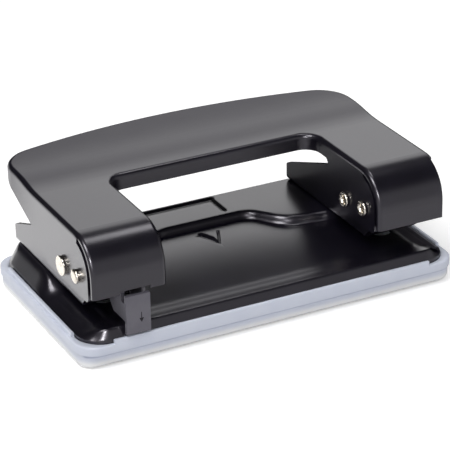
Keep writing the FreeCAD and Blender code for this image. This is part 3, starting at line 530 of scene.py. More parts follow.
@dataclass
class BasePlate:
    """The pressed base: skirt, rim, paper table, stepped plateau, centre mark and frame, in mm."""

    gauge: float = 1.0
    foot_x: float = 51.6
    foot_y: float = 28.0
    foot_z: float = 4.4
    corner: float = 7.0
    waist_z: float = 7.0
    rim_z: float = 9.6
    rim_side_z: float = 9.5
    rim_side_fall: float = 1.3
    rim_side: float = 2.8
    rim_front: float = 1.3
    rim_soft_side: float = 1.2
    rim_soft_front: float = 0.5
    table_x: float = 43.6
    table_y: float = 23.2
    table_z: float = 10.0
    table_corner: float = 1.2
    table_rise_side: float = 0.5
    table_rise_front: float = 2.2
    plateau_z: float = 12.0
    plateau_side: float = 2.9
    plateau_rear: float = 2.1
    plateau_soft: float = 1.3
    stop_y: float = 1.5
    middle_x: float = 10.07
    middle_y: float = 12.5
    slope: float = 54.0
    runout: float = 9.3
    crest: float = 6.0
    hollow: float = 9.0
    hollow_x: float = 23.4
    tower_x: float = 31.0
    step_width: float = 1.3
    step_side_width: float = 4.5
    step_soft: float = 0.49
    die_x: float = 40.0
    die_y: float = -11.5
    die_radius: float = 3.1
    die_field: float = 4.0
    die_ring: float = 3.2
    mark_depth: float = 0.60
    mark_low: float = 3.05
    mark_high: float = 8.8
    mark_half: float = 2.45
    mark_left: float = 1.15
    mark_right: float = 0.38
    frame_left: float = -20.0
    frame_x: float = 8.0
    frame_front: float = 16.0
    frame_rear: float = 24.1
    frame_side_half: float = 0.70
    frame_rear_half: float = 1.05
    table_turn: float = 3.0
    table_soft: float = 0.3
    mark_soft: float = 0.25
    lean_places: int = 801
    near_mark_x: float = 3.4
    near_frame_x: float = 0.7
    near_frame_front: float = 0.3
    near_frame_rear: float = 0.8
    near_table: float = 0.5
    near_stop: float = 1.2
    near_crest_x: float = 25.0
    near_rim_x: Pair = (47.4, 49.8)
    near_rim_y: Pair = (-26.0, 27.0)
    near_mark_y: Pair = (2.0, 10.1)
    bend_rear: float = 24.9

    def stop_line(self, x: Grid) -> Grid:
        """Where the plateau's front stands: straight, a crest arc, a slope, a hollow arc and a run.

        Args:
            x: places along the punch.

        Returns:
            Y of the paper stop at each place.
        """
        far = np.abs(x)
        slope, runout = math.radians(self.slope), math.radians(self.runout)
        run_y = self.stop_y + (self.tower_x - self.hollow_x) * math.tan(runout)
        turn_x = self.hollow_x + self.hollow * math.sin(runout)
        turn_y = run_y + self.hollow * math.cos(runout)
        dip_x = turn_x - self.hollow * math.sin(slope)
        dip_y = turn_y - self.hollow * math.cos(slope)
        brow_x = self.middle_x + self.crest * math.sin(slope)
        brow_y = self.middle_y - self.crest * (1 - math.cos(slope))
        on_crest = np.sqrt(np.maximum(self.crest**2 - (far - self.middle_x) ** 2, 0.0))
        in_hollow = np.sqrt(np.maximum(self.hollow**2 - (far - turn_x) ** 2, 0.0))
        cases = [far <= self.middle_x, far <= brow_x, far <= dip_x, far <= self.hollow_x,
                 far <= self.tower_x]
        values = [
            np.full_like(far, self.middle_y),
            self.middle_y - self.crest + on_crest,
            brow_y + (far - brow_x) * (dip_y - brow_y) / (dip_x - brow_x),
            turn_y - in_hollow,
            self.stop_y + (self.tower_x - far) * math.tan(runout),
        ]
        return np.select(cases, values, self.stop_y)

    def columns(self) -> Grid:
        """Grid lines along X, closer where something is pressed in or bent.

        Returns:
            X of each line.
        """
        field, ring, die = self.die_field, self.die_ring, self.die_x
        mark, crest, close = self.near_mark_x, self.near_crest_x, self.near_frame_x
        frame, table = self.frame_x, self.table_x + self.near_table
        rim_in, rim_out = self.near_rim_x
        half = lines(
            0.0, (mark, 24), (frame - close, 4), (frame + close, 14), (self.middle_x, 4), (crest, 30),
            (die - field, 8), (die - ring, 2), (die + ring, 8), (die + field, 2),
            (table, 8), (rim_in, 4), (rim_out, 9), (self.foot_x, 4),
            (self.foot_x + self.waist_z - self.foot_z, 3),
        )
        return np.concatenate([-half[:0:-1], half])

    def rows(self) -> Grid:
        """Grid lines along Y where the stop line is straight, closer at bends and marks.

        Returns:
            Y of each line.
        """
        field, ring, die = self.die_field, self.die_ring, self.die_y
        wall, near = self.waist_z - self.foot_z, self.near_table
        front, rear, table = -self.foot_y, self.foot_y, -self.table_y
        rim_front, rim_rear = self.near_rim_y
        mark_low, mark_high = self.near_mark_y
        stop, near_stop = self.middle_y, self.near_stop
        side, near_side = self.frame_front, self.near_frame_front
        frame, near_frame = self.frame_rear, self.near_frame_rear
        return lines(
            front - wall, (front, 3), (rim_front, 10), (table - near, 3), (table + near, 8),
            (die - field, 6), (die - ring, 2), (die + ring, 8), (die + field, 2),
            (mark_low, 6), (mark_high, 54), (stop - near_stop, 2), (stop + near_stop, 20),
            (side - near_side, 3), (side + near_side, 4), (frame - near_frame, 5),
            (frame + near_frame, 14), (rim_rear, 10), (rear, 3), (rear + wall, 3),
        )

    def bend_rows(self, x: Grid, y: Grid) -> Grid:
        """Shifts the rows so that the same ones follow the stop line along the whole punch.

        The shift is whole across the step, and falls off evenly to the die holes and the rear.

        Args:
            x: X of each grid point.
            y: Y of each grid point where the stop line is straight.

        Returns:
            The shifted Y.
        """
        whole = (self.middle_y - self.near_stop, self.middle_y + self.near_stop)
        places = [self.die_y + self.die_field, *whole, self.bend_rear]
        share = np.interp(y, places, [0.0, 1.0, 1.0, 0.0])
        return y + share * (self.stop_line(x) - self.middle_y)

    def round_corners(self, x: Grid, y: Grid) -> tuple[Grid, Grid, Grid, Grid]:
        """Turns the square rings of the grid into rings with round corners.

        A point's depth is its distance from the nearest side. The eighth of a turn on each side of
        a corner's diagonal is spread over the last stretch of the ring before the corner.

        Args:
            x: X of each grid point.
            y: Y of each grid point.

        Returns:
            X, Y, the depth, and how much the nearest wall faces along X, from 0 to 1.
        """
        gap_x, gap_y = self.foot_x - np.abs(x), self.foot_y - np.abs(y)
        depth = np.minimum(gap_x, gap_y)
        reach = self.corner - depth
        along = np.maximum(gap_x, gap_y) - depth
        turning = (along < reach) & (reach > 0.0)
        angle = np.where(turning, math.pi / 4 * (1.0 - along / np.maximum(reach, TINY_LENGTH)), 0.0)
        facing_x = gap_x <= gap_y
        angle = np.where(facing_x, angle, math.pi / 2 - angle)
        radius = np.minimum(reach, self.corner)
        turned_x = self.foot_x - self.corner + radius * np.cos(angle)
        turned_y = self.foot_y - self.corner + radius * np.sin(angle)
        straight_x = np.where(facing_x, self.foot_x - np.maximum(depth, 0.0), np.abs(x))
        straight_y = np.where(facing_x, np.abs(y), self.foot_y - np.maximum(depth, 0.0))
        new_x = np.where(turning, turned_x, straight_x) * np.sign(x)
        new_y = np.where(turning, turned_y, straight_y) * np.sign(y)
        return new_x, new_y, depth, np.cos(angle) ** 2

    def round_dies(self, x: Grid, y: Grid) -> tuple[Grid, Grid, Grid]:
        """Draws the grid's square rings round each die hole into circles.

        Args:
            x: X of each grid point.
            y: Y of each grid point.

        Returns:
            X, Y, and the ring that each point is on, where the hole's own edge is 1.
        """
        far_x, far_y = np.abs(x) - self.die_x, y - self.die_y
        ring = np.maximum(np.abs(far_x), np.abs(far_y))
        length = np.maximum(np.hypot(far_x, far_y), TINY_LENGTH)
        circle = np.minimum(ring / self.die_ring, 1.0) * self.die_radius / length
        share = np.clip((ring - self.die_ring) / (self.die_field - self.die_ring), 0.0, 1.0)
        scale = np.where(ring < self.die_field, circle * (1 - share) + share, 1.0)
        new_x = (self.die_x + far_x * scale) * np.sign(x)
        return np.where(x == 0.0, 0.0, new_x), self.die_y + far_y * scale, ring / self.die_ring

    def height(self, x: Grid, y: Grid, depth: Grid, sideways: Grid) -> Grid:
        """Height of the pressed skin.

        In front it is a skirt that leans in to a rim, with the table raised on it. Behind the stop
        line it is a steeper skirt up to the plateau. A ramp across the stop line joins the two,
        and marks are pressed in.

        Args:
            x: X of each point.
            y: Y of each point.
            depth: distance inside the foot's outline, less than 0 down the upright wall.
            sideways: how much the nearest wall faces along X.

        Returns:
            Z of each point.
        """
        inset = blend(self.rim_side, self.rim_front, sideways)
        room = self.foot_x - self.table_x - self.rim_side
        fall = self.rim_side_fall * np.clip(1.0 - (depth - self.rim_side) / room, 0.0, 1.0)
        level = blend(self.rim_side_z - fall, self.rim_z, sideways)
        skirt = self.waist_z + (level - self.waist_z) * depth / inset
        soft = blend(self.rim_soft_side, self.rim_soft_front, sideways)
        rim = smooth_least(skirt, level, soft)
        out_x = np.abs(x) - self.table_x + self.table_corner
        out_y = -y - self.table_y + self.table_corner
        outside = np.hypot(np.maximum(out_x, 0.0), np.maximum(out_y, 0.0))
        outside += np.minimum(np.maximum(out_x, out_y), 0.0) - self.table_corner
        frontal = np.clip(0.5 + (out_y - out_x) / self.table_turn, 0.0, 1.0)
        rise = self.table_rise_side + (self.table_rise_front - self.table_rise_side) * frontal
        table = (self.table_z - level) * soft_ramp(0.5 - outside / rise, self.table_soft)

        inset = blend(self.plateau_side, self.plateau_rear, sideways)
        skirt = self.waist_z + (self.plateau_z - self.waist_z) * depth / inset
        plateau = smooth_least(skirt, self.plateau_z, self.plateau_soft)

        places = np.linspace(-self.foot_x, self.foot_x, self.lean_places)
        lean = np.interp(x, places, np.gradient(self.stop_line(places), places))
        behind = (y - self.stop_line(x)) / np.hypot(1.0, lean)
        spread = np.clip((np.abs(x) - self.tower_x) / (self.table_x - self.tower_x), 0.0, 1.0)
        width = self.step_width + (self.step_side_width - self.step_width) * spread**2
        step = soft_ramp(0.5 + behind / width, self.step_soft)
        skin = (rim + table) * (1 - step) + plateau * step
        return np.where(depth < 0.0, self.waist_z + depth, skin - self.marks(x, y))

    def marks(self, x: Grid, y: Grid) -> Grid:
        """Depth of what is pressed in: a V at the middle of the table and a frame on the plateau.

        Each groove is deepest along its line, and rises evenly to both sides.

        Args:
            x: X of each point.
            y: Y of each point.

        Returns:
            The depth at each point.
        """
        rise = self.mark_high - self.mark_low
        length = math.hypot(self.mark_half, rise)
        lean_x, lean_y = self.mark_half / length, rise / length
        along = np.clip(np.abs(x) * lean_x + (y - self.mark_low) * lean_y, 0.0, length)
        away = np.hypot(np.abs(x) - along * lean_x, y - self.mark_low - along * lean_y)
        letter = 1.0 - away / np.where(x < 0.0, self.mark_left, self.mark_right)
        side = np.minimum(np.abs(x - self.frame_left), np.abs(x - self.frame_x))
        past = np.maximum(np.maximum(self.frame_front - y, y - self.frame_rear), 0.0)
        sides = 1.0 - np.hypot(side, past) / self.frame_side_half
        past = np.maximum(np.maximum(self.frame_left - x, x - self.frame_x), 0.0)
        rear = 1.0 - np.hypot(y - self.frame_rear, past) / self.frame_rear_half
        deepest = np.maximum(letter, np.maximum(sides, rear))
        return self.mark_depth * soft_ramp(deepest, self.mark_soft)

    def build(self) -> bpy.types.Object:
        """Makes the plate from its upper skin, the same skin moved in by the gauge, and edges.

        Returns:
            The plate.
        """
        x, y = np.meshgrid(self.columns(), self.rows())
        y = self.bend_rows(x, y)
        centre_x = (x[1:, 1:] + x[:-1, :-1]) / 2
        centre_y = (y[1:, 1:] + y[:-1, :-1]) / 2
        kept = self.round_dies(centre_x, centre_y)[2] > 1.0
        x, y, depth, sideways = self.round_corners(x, y)
        x, y, ring = self.round_dies(x, y)
        skin = np.stack([x, y, self.height(x, y, depth, sideways)], axis=-1)
        under = inner_skin(skin, self.gauge)
        under[0, :, 2] = under[-1, :, 2] = self.foot_z
        under[:, 0, 2] = under[:, -1, 2] = self.foot_z
        piece = Piece("pressed_base")
        piece.add(skin, kept=kept)
        piece.add(under, flipped=True, kept=kept)
        piece.add(strip(under[0], skin[0]))
        piece.add(strip(skin[-1], under[-1]))
        piece.add(strip(skin[:, 0], under[:, 0]))
        piece.add(strip(under[:, -1], skin[:, -1]))
        for side in (-1, 1):
            self.line_die(piece, skin, under, side)
        return piece.mesh()

    def line_die(self, piece: Piece, skin: Grid, under: Grid, side: int) -> None:
        """Closes the wall of one die hole.

        Args:
            piece: the plate.
            skin: its upper skin.
            under: its lower skin.
            side: -1 for the left hole and 1 for the right one.
        """
        columns, rows = self.columns(), self.rows()
        ring = self.die_ring
        edge_x = [np.argmin(np.abs(columns - side * self.die_x - way * ring)) for way in (-1, 1)]
        edge_y = [np.argmin(np.abs(rows - self.die_y - way * ring)) for way in (-1, 1)]
        across = np.arange(edge_x[0], edge_x[1] + 1)
        along = np.arange(edge_y[0], edge_y[1] + 1)
        loop_x = np.concatenate([across, np.full(len(along), edge_x[1]), across[::-1],
                                 np.full(len(along), edge_x[0])])
        loop_y = np.concatenate([np.full(len(across), edge_y[0]), along,
                                 np.full(len(across), edge_y[1]), along[::-1]])
        piece.add(strip(under[loop_y, loop_x], skin[loop_y, loop_x]), flipped=True)

    def dress(self, paintbox: "Paintbox") -> None:
        """Builds the plate, paints it and puts it in the place of the plain one.

        Args:
            paintbox: what puts the finish on.
        """
        piece = self.build()
        paintbox.put(BASE_ENAMEL, piece)
        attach(piece, Body.FRAME.value)
        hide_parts("base_plate")


@dataclass
class ChipTray:
    """The soft tray under the base: foot, flare, wide band, straight lips, seat and well, in mm."""

    foot: Triple = (52.8, 27.9, 4.2)
    outer: Triple = (53.3, 29.05, 5.8)
    lip_outer: Triple = (52.65, 28.6, 5.4)
    inner: Triple = (51.75, 28.15, 7.15)
    well: Triple = (51.6, 26.7, 6.0)
    lip_x: float = 44.6
    lip_y: float = 20.5
    lip_end: float = 0.12
    edge: float = 1.4
    flare_z: float = 3.0
    band_z: float = 4.1
    wall_z: float = 6.3
    lip_z: float = 7.4
    wall_edge: float = 0.5
    lip_edge: float = 0.16
    lip_break: float = 0.3
    seat_z: float = 4.4
    floor_z: float = 1.2
    long_places: int = 25
    short_places: int = 13
    corner_places: int = 13
    foot_levels: int = 7
    flare_levels: int = 9
    wall_levels: int = 6
    sharp: float = 50.0

    def ring(self, size: Triple, z: Union[float, Grid], long_y: Optional[float] = None) -> Grid:
        """One level of the tray: a rectangle with round corners, walked leftwards round the outside.

        Each straight side has its own steps, so that the ends of the lips fall on the same columns
        of every level. On a straight the point's place along it is kept inside the corner's start,
        and in a corner it is the centre plus the radius times the angle's cosine and sine.

        Args:
            size: half length, half width and corner radius.
            z: height, the same all round or one for each column.
            long_y: half width where the long lips stand, if another.

        Returns:
            Columns by three.
        """
        half_x, half_y, corner = size
        long = np.linspace(-self.lip_x, self.lip_x, self.long_places)
        short = np.linspace(-self.lip_y, self.lip_y, self.short_places)
        turn = np.linspace(0.0, math.pi / 2, self.corner_places)
        parts = []
        for quarter in range(4):
            on_long = quarter % 2 == 0
            run = long if on_long else short
            reach = (half_x if on_long else half_y) - corner
            across = half_y if on_long else half_x
            lip_across = long_y if on_long and long_y else across
            end = np.array([run[-1] + self.lip_end])
            along = np.clip(np.concatenate([-end, run, end]), -reach, reach)
            out = np.concatenate([[across], np.full(len(run), lip_across), [across]])
            bend_along = reach + corner * np.sin(turn)
            bend_out = across - corner + corner * np.cos(turn)
            side = np.stack([np.concatenate([along, bend_along]), -np.concatenate([out, bend_out])])
            for _ in range(quarter):
                side = np.stack([-side[1], side[0]])
            parts.append(side)
        plan = np.concatenate(parts, axis=1)
        plan = np.concatenate([plan, plan[:, :1]], axis=1)
        return np.stack([plan[0], plan[1], np.broadcast_to(z, plan[0].shape)], axis=-1)

    def lips(self) -> Grid:
        """Which columns of a level lie on a lip.

        Returns:
            1 on a lip and 0 elsewhere, for each column.
        """
        counts = (self.long_places, self.short_places)
        gap = np.zeros(self.corner_places + 1)
        sides = [np.concatenate([[0.0], np.ones(count), gap]) for count in counts]
        return np.concatenate([*sides, *sides, [0.0]])

    def inset(self, size: Triple, gap: float) -> Triple:
        """A level's size drawn in by a gap all round."""
        return size[0] - gap, size[1] - gap, size[2] - gap

    def build(self) -> bpy.types.Object:
        """Makes the shell from its levels: up the outside, over the wall or lip, down to the floor.

        Returns:
            The tray.
        """
        lips = self.lips()
        rise = (self.lip_z - self.wall_z) * lips
        outer_y = self.outer[1]
        levels = [self.ring(self.inset(self.foot, self.edge), 0.0) * (0.0, 0.0, 1.0)]
        for angle in np.linspace(0.0, math.pi / 2, self.foot_levels):
            gap = self.edge * (1.0 - math.sin(angle))
            levels.append(self.ring(self.inset(self.foot, gap), self.edge * (1.0 - math.cos(angle))))
        for share in np.linspace(0.0, 1.0, self.flare_levels):
            out = 0.5 - 0.5 * math.cos(math.pi * share)
            size = tuple(low + (high - low) * out for low, high in zip(self.foot, self.outer))
            levels.append(self.ring(size, self.flare_z + (self.band_z - self.flare_z) * share))
        for angle in np.linspace(0.0, math.pi / 2, self.wall_levels):
            gap = self.wall_edge * (1.0 - math.cos(angle))
            z = self.wall_z - self.wall_edge * (1.0 - math.sin(angle))
            levels.append(self.ring(self.inset(self.outer, gap), z, outer_y))
        top = self.wall_z + rise
        small = self.lip_break * self.lip_edge
        levels += [self.ring(*level) for level in (
            (self.lip_outer, self.wall_z, outer_y),
            (self.lip_outer, top - self.lip_edge * lips, outer_y),
            (self.inset(self.lip_outer, small), top - small * lips, outer_y - small),
            (self.inset(self.lip_outer, self.lip_edge), top, outer_y - self.lip_edge),
            (self.inset(self.inner, -self.lip_edge), top),
            (self.inner, top - self.lip_edge),
            (self.inner, self.seat_z),
            (self.well, self.seat_z),
            (self.well, self.floor_z),
        )]
        levels.append(self.ring(self.well, self.floor_z) * (0.0, 0.0, 1.0))
        piece = Piece("moulded_tray")
        piece.add(np.stack(levels))
        return piece.mesh(self.sharp)

    def dress(self, paintbox: "Paintbox") -> None:
        """Builds the tray in milky plastic and puts it in the place of the plain one.

        Args:
            paintbox: what puts the finish on.
        """
        piece = self.build()
        paintbox.put(POLYTHENE, piece)
        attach(piece, Body.TRAY.value)
        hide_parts("chip_tray")


class PinKind(Enum):
    """The two pins across each arm."""

    FULCRUM = "fulcrum"
    DRIVE = "drive"


@dataclass
class LeverPins:
    """The four plated pins: headed outside, hollow and flared at the window, in mm.

    The drive pin has a flat head with a thin rim, and the fulcrum pin a smaller one, hammered round.
    An outline's points are radius and height: over the lever from a head's foot to its middle, and
    outwards from the window's edge from the bottom of the hollow, round the flare, to the shank.
    """

    outside: float = 49.9
    window: float = 29.7
    shank: float = 1.3
    seat: float = 0.02
    wave_foot: float = 0.45
    wave_rise: float = 0.2
    flats: float = 2.5
    flat_turn: float = 0.4
    flat_depth: float = 0.07
    ripples: int = 3
    ripple_depth: float = 0.05
    sharp: float = 55.0
    places: tuple[tuple[PinKind, float, float], ...] = (
        (PinKind.FULCRUM, -20.5, 22.5), (PinKind.DRIVE, -11.18, 21.273),
    )
    drive_head: tuple[Pair, ...] = (
        (2.45, 0.0), (2.5, 0.35), (2.6, 0.52), (2.65, 0.70), (2.62, 0.86), (2.50, 0.96),
        (2.30, 1.00), (1.60, 0.97), (0.8, 0.95), (0.0, 0.94),
    )
    fulcrum_head: tuple[Pair, ...] = (
        (1.7, 0.0), (1.75, 0.45), (1.9, 0.65), (2.0, 0.85), (1.98, 1.0), (1.84, 1.18),
        (1.55, 1.36), (1.15, 1.46), (0.6, 1.49), (0.0, 1.44),
    )
    flare: tuple[Pair, ...] = (
        (0.0, 3.5), (1.0, 3.45), (1.08, 3.3), (1.08, 0.3), (1.12, -0.1), (1.25, -0.5),
        (1.5, -0.8), (1.7, -0.9), (1.88, -0.84), (2.05, -0.62), (2.08, -0.4), (1.95, -0.2),
        (1.7, -0.05), (1.5, 0.0),
    )

    def build(self, name: str, side: int, kind: PinKind, y: float, z: float) -> bpy.types.Object:
        """Makes one pin by turning its outline about the arm's cross axis.

        Flats and ripples of the turn's angle draw the radius of the hammered head in.

        Args:
            name: the piece's name.
            side: -1 for the left arm and 1 for the right one.
            kind: which pin.
            y: Y of its axis.
            z: Z of its axis.

        Returns:
            The pin.
        """
        flare = (*self.flare, (self.shank, self.seat))
        head = self.drive_head if kind is PinKind.DRIVE else self.fulcrum_head
        inner = [(radius, self.window + along) for radius, along in flare]
        outer = [(radius, self.outside + along) for radius, along in head]
        outline = [*inner, (self.shank, self.outside - self.seat), *outer]
        patch = spun(outline, (0.0, y, z), (float(side), 0.0, 0.0))
        if kind is PinKind.FULCRUM:
            turn = np.linspace(0.0, 2 * math.pi, patch.shape[1])
            waves = 1.0 - self.flat_depth * np.abs(np.sin(self.flats * turn + self.flat_turn))
            waves -= self.ripple_depth * np.sin(self.ripples * turn) ** 2
            waves[-1] = waves[0]
            height = np.abs(patch[..., 0]) - self.outside - self.wave_foot
            beyond = np.clip(height / self.wave_rise, 0.0, 1.0)
            scale = 1.0 + (waves - 1.0) * beyond
            patch[..., 1] = y + (patch[..., 1] - y) * scale
            patch[..., 2] = z + (patch[..., 2] - z) * scale
        piece = Piece(name)
        piece.add(patch)
        return piece.mesh(self.sharp)

    def dress(self, paintbox: "Paintbox") -> None:
        """Builds and plates each pin and puts it in the place of the plain one.

        Args:
            paintbox: what puts the finish on.
        """
        for side, word in ((-1, "left"), (1, "right")):
            for kind, y, z in self.places:
                name = f"{word}_{kind.value}_pin"
                piece = self.build(name + "_forged", side, kind, y, z)
                paintbox.put(NICKEL, piece)
                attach(piece, Body.LEVER.value)
                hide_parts(name)


@dataclass
class PunchSprings:
    """The two compression springs under the spring caps, in mm."""

    x: float = 40.0
    y: float = -11.5
    low: float = 13.2
    high: float = 18.2
    mean: float = 3.75
    wire: float = 0.27
    turns: float = 4.0
    dead_turns: float = 0.55
    stroke: float = 2.67
    spare: float = 0.12
    end_gap: float = 0.02
    end_soft: float = 0.12
    steps: int = 220
    around: int = 12

    def build(self, name: str, side: int) -> bpy.types.Object:
        """Makes one spring: a circle carried along a helix that lies flat at both ends.

        At angle t the wire's middle is at mean cos t, mean sin t, and its height rises evenly
        between the flat end turns. The circle lies across the wire, outwards and upwards.

        Args:
            name: the piece's name.
            side: -1 for the left spring and 1 for the right one.

        Returns:
            The spring.
        """
        turn = np.linspace(0.0, 2 * math.pi * self.turns, self.steps)
        share = (turn / (2 * math.pi) - self.dead_turns) / (self.turns - 2 * self.dead_turns)
        bottom, top = self.low + self.wire + self.end_gap, self.high - self.wire - self.end_gap
        height = bottom + (top - bottom) * soft_ramp(share, self.end_soft)
        outwards = np.stack([np.cos(turn), np.sin(turn), np.zeros_like(turn)], axis=-1)
        middle = self.mean * outwards + np.stack([np.zeros_like(turn)] * 2 + [height], axis=-1)
        middle += (side * self.x, self.y, 0.0)
        angle = np.linspace(0.0, 2 * math.pi, self.around + 1)
        up = np.array([0.0, 0.0, 1.0])
        cosine, sine = np.cos(angle)[None, :, None], np.sin(angle)[None, :, None]
        circle = cosine * outwards[:, None] + sine * up
        tube = middle[:, None] + self.wire * circle
        piece = Piece(name)
        piece.add(tube, flipped=True)
        piece.add(strip(tube[0], np.broadcast_to(middle[0], tube[0].shape)))
        piece.add(strip(tube[-1], np.broadcast_to(middle[-1], tube[-1].shape)), flipped=True)
        return piece.mesh()

    def dress(self, paintbox: "Paintbox") -> None:
        """Builds both springs in spring steel and puts each in the place of the plain one.

        Args:
            paintbox: what puts the finish on.
        """
        for side, word in ((-1, "left"), (1, "right")):
            piece = self.build(f"{word}_coil_spring", side)
            paintbox.put(SPRING_STEEL, piece)
            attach(piece, Body.FRAME.value)
            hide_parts(f"{word}_spring")
            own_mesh(piece)


@dataclass
class LatchMark:
    """The small arrow pressed into the latch's face; it points down, the way the latch locks, in mm. It is
    a thin plate in near-black painted shade, standing for the dark of the groove.
    """

    x: float = -37.55
    face_y: float = -29.6
    proud: float = 0.004
    sunk: float = 0.25
    top: float = 13.7
    point: float = 10.9
    stroke: float = 0.11
    barb: float = 0.62
    barb_z: float = 12.1
    sharp: float = 20.0

    def build(self) -> bpy.types.Object:
        """Makes the arrow as a thin plate: half width by height, a stem and then a barbed point.

        Returns:
            The arrow.
        """
        outline = np.array([(self.stroke, self.top), (self.stroke, self.barb_z),
                            (self.barb, self.barb_z), (0.0, self.point)])
        sides = []
        for y in (self.face_y - self.proud, self.face_y + self.sunk):
            deep = np.full(len(outline), y)
            left = np.stack([self.x - outline[:, 0], deep, outline[:, 1]], axis=-1)
            right = np.stack([self.x + outline[:, 0], deep, outline[:, 1]], axis=-1)
            sides.append(np.stack([left, right]))
        front, rear = sides
        piece = Piece("latch_arrow_painted_shade")
        piece.add(front, flipped=True)
        piece.add(rear)
        piece.add(strip(front[0], rear[0]), flipped=True)
        piece.add(strip(front[1], rear[1]))
        piece.add(strip(front[:, 0], rear[:, 0]))
        return piece.mesh(self.sharp)

    def dress(self, paintbox: "Paintbox") -> None:
        """Builds the mark in near-black painted shade, standing for the dark of a pressed groove.

        Args:
            paintbox: what puts the finish on.
        """
        piece = self.build()
        paintbox.put(SHADOW_ENAMEL, piece)
        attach(piece, Body.LATCH.value)


@dataclass(frozen=True)
class Enamel:
    """Black stove enamel on pressed steel, with a faint orange peel and rubbed places."""

    name: str = "black_enamel"
    slot: Slot = Slot.PAINT
    colour: Colour = (0.0026, 0.0020, 0.0052)
    rubbed: Colour = (0.0046, 0.0038, 0.0084)
    tint: Colour = (0.90, 0.83, 1.0)
    gloss: float = 0.30
    coat: float = 1.0
    coat_gloss: float = 0.24
    dulled: Pair = (0.0, 1.0)
    dulling: float = 0.0
    matt_end: float = 0.0
    matt_edges: Pair = (43.8 * MM, 45.2 * MM)
    matt_limits: Pair = (50.0 * MM, 50.8 * MM)
    matt_front: Pair = (23.0 * MM, 25.5 * MM)
    matt_gloss: float = 0.95
    cloud: float = 9.0 * MM
    cloud_edges: Pair = (0.35, 0.75)
    cloud_gloss: float = 0.06
    peel: float = 0.55 * MM
    peel_gloss: float = 0.05
    peel_depth: float = 0.0035 * MM

    def material(self) -> bpy.types.Material:
        """Clouds shift colour and roughness, fine noise gives the peel, and some places are dull.

        Returns:
            The material.
        """
        graph = Graph(bpy.data.materials.new(self.name))
        cloud = graph.noise(self.cloud, 3.0)
        fine = graph.noise(self.peel, 2.0)
        colour = graph.mix(cloud.ramp(*self.cloud_edges), self.colour, self.rubbed)
        roughness = self.gloss + self.cloud_gloss * (cloud - 0.5) + self.peel_gloss * (fine - 0.5)
        dull = graph.along(REARWARD).ramp(*self.dulled)
        far = graph.along(RIGHTWARD)
        fore = graph.along(FORWARD).ramp(*self.matt_front)
        matt = far.ramp(*self.matt_edges) * (1.0 - far.ramp(*self.matt_limits)) * (1.0 - fore)
        matt = matt * self.matt_end
        graph.surface(
            Base_Color=colour,
            Roughness=roughness + (self.matt_gloss - roughness) * matt,
            Specular_Tint=self.tint,
            Coat_Weight=self.coat * (1.0 - self.dulling * dull) * (1.0 - matt),
            Coat_Roughness=self.coat_gloss,
            Normal=graph.bump(fine, self.peel_depth),
        )
        return graph.owner


@dataclass(frozen=True)
class MilkyPlastic:
    """Soft milky polythene: it lets some light through, so dark steel behind it shows as blue grey."""

    name: str = "milky_polythene"
    slot: Slot = Slot.PLASTIC
    colour: Colour = (0.64, 0.68, 0.81)
    clouded: Colour = (0.71, 0.74, 0.83)
    # Painted light: the foot is painted whiter towards the floor, standing in for light glowing through it.
    painted_foot_light: Colour = (0.97, 0.97, 0.98)
    painted_foot_light_edges: Pair = (0.9 * MM, 2.8 * MM)
    # Painted shade: a darker band along the front, under the ledge of the wide band.
    painted_fold_shade: Colour = (0.42, 0.46, 0.62)
    painted_fold_shade_low: Pair = (3.0 * MM, 3.4 * MM)
    painted_fold_shade_high: Pair = (3.7 * MM, 4.1 * MM)
    painted_fold_shade_front: Pair = (26.0 * MM, 27.0 * MM)
    opacity: float = 0.86
    gloss: float = 0.38
    cloud: float = 7.0 * MM
    cloud_gloss: float = 0.08
    cloud_opacity: float = 0.05
    grain: float = 0.35 * MM
    grain_depth: float = 0.003 * MM

    def material(self) -> bpy.types.Material:
        """Clouds shift colour and opacity; painted light whitens the foot, and painted shade darkens the
        front's fold.

        Returns:
            The material.
        """
        graph = Graph(bpy.data.materials.new(self.name))
        rise = graph.along(UPWARD)
        # Painted light: high rises from 0 at the foot to 1 above it, and below it the whiter painted light
        # is mixed in.
        high = rise.ramp(*self.painted_foot_light_edges)
        cloud = graph.noise(self.cloud, 2.0)
        fine = graph.noise(self.grain, 2.0)
        milky = graph.mix(cloud, self.colour, self.clouded)
        # Painted shade: line marks the band along the front's fold that is painted darker.
        line = rise.ramp(*self.painted_fold_shade_low) * (1.0 - rise.ramp(*self.painted_fold_shade_high))
        line = line * graph.along(FORWARD).ramp(*self.painted_fold_shade_front)
        graph.surface(
            Base_Color=graph.mix(line, graph.mix(high, self.painted_foot_light, milky), self.painted_fold_shade),
            Roughness=self.gloss + self.cloud_gloss * (cloud - 0.5),
            Alpha=self.opacity + self.cloud_opacity * (cloud - 0.5),
            Normal=graph.bump(fine, self.grain_depth),
        )
        return graph.owner


@dataclass(frozen=True)
class BareSteel:
    """Plated or ground steel, with fine scratches and small dull spots."""

    name: str
    slot: Slot
    colour: Colour
    dulled: Colour
    gloss: float
    spot: float = 1.4 * MM
    spot_edges: Pair = (0.45, 0.8)
    spot_gloss: float = 0.18
    scratch: float = 0.12 * MM
    scratch_gloss: float = 0.08
    scratch_depth: float = 0.002 * MM

    def material(self) -> bpy.types.Material:
        """Spots shift colour and roughness, and fine noise gives the scratches.

        Returns:
            The material.
        """
        graph = Graph(bpy.data.materials.new(self.name))
        dull = graph.noise(self.spot, 3.0).ramp(*self.spot_edges)
        fine = graph.noise(self.scratch, 2.0)
        graph.surface(
            Base_Color=graph.mix(dull, self.colour, self.dulled),
            Metallic=1.0,
            Roughness=self.gloss + self.spot_gloss * dull + self.scratch_gloss * (fine - 0.5),
            Normal=graph.bump(fine, self.scratch_depth),
        )
        return graph.owner


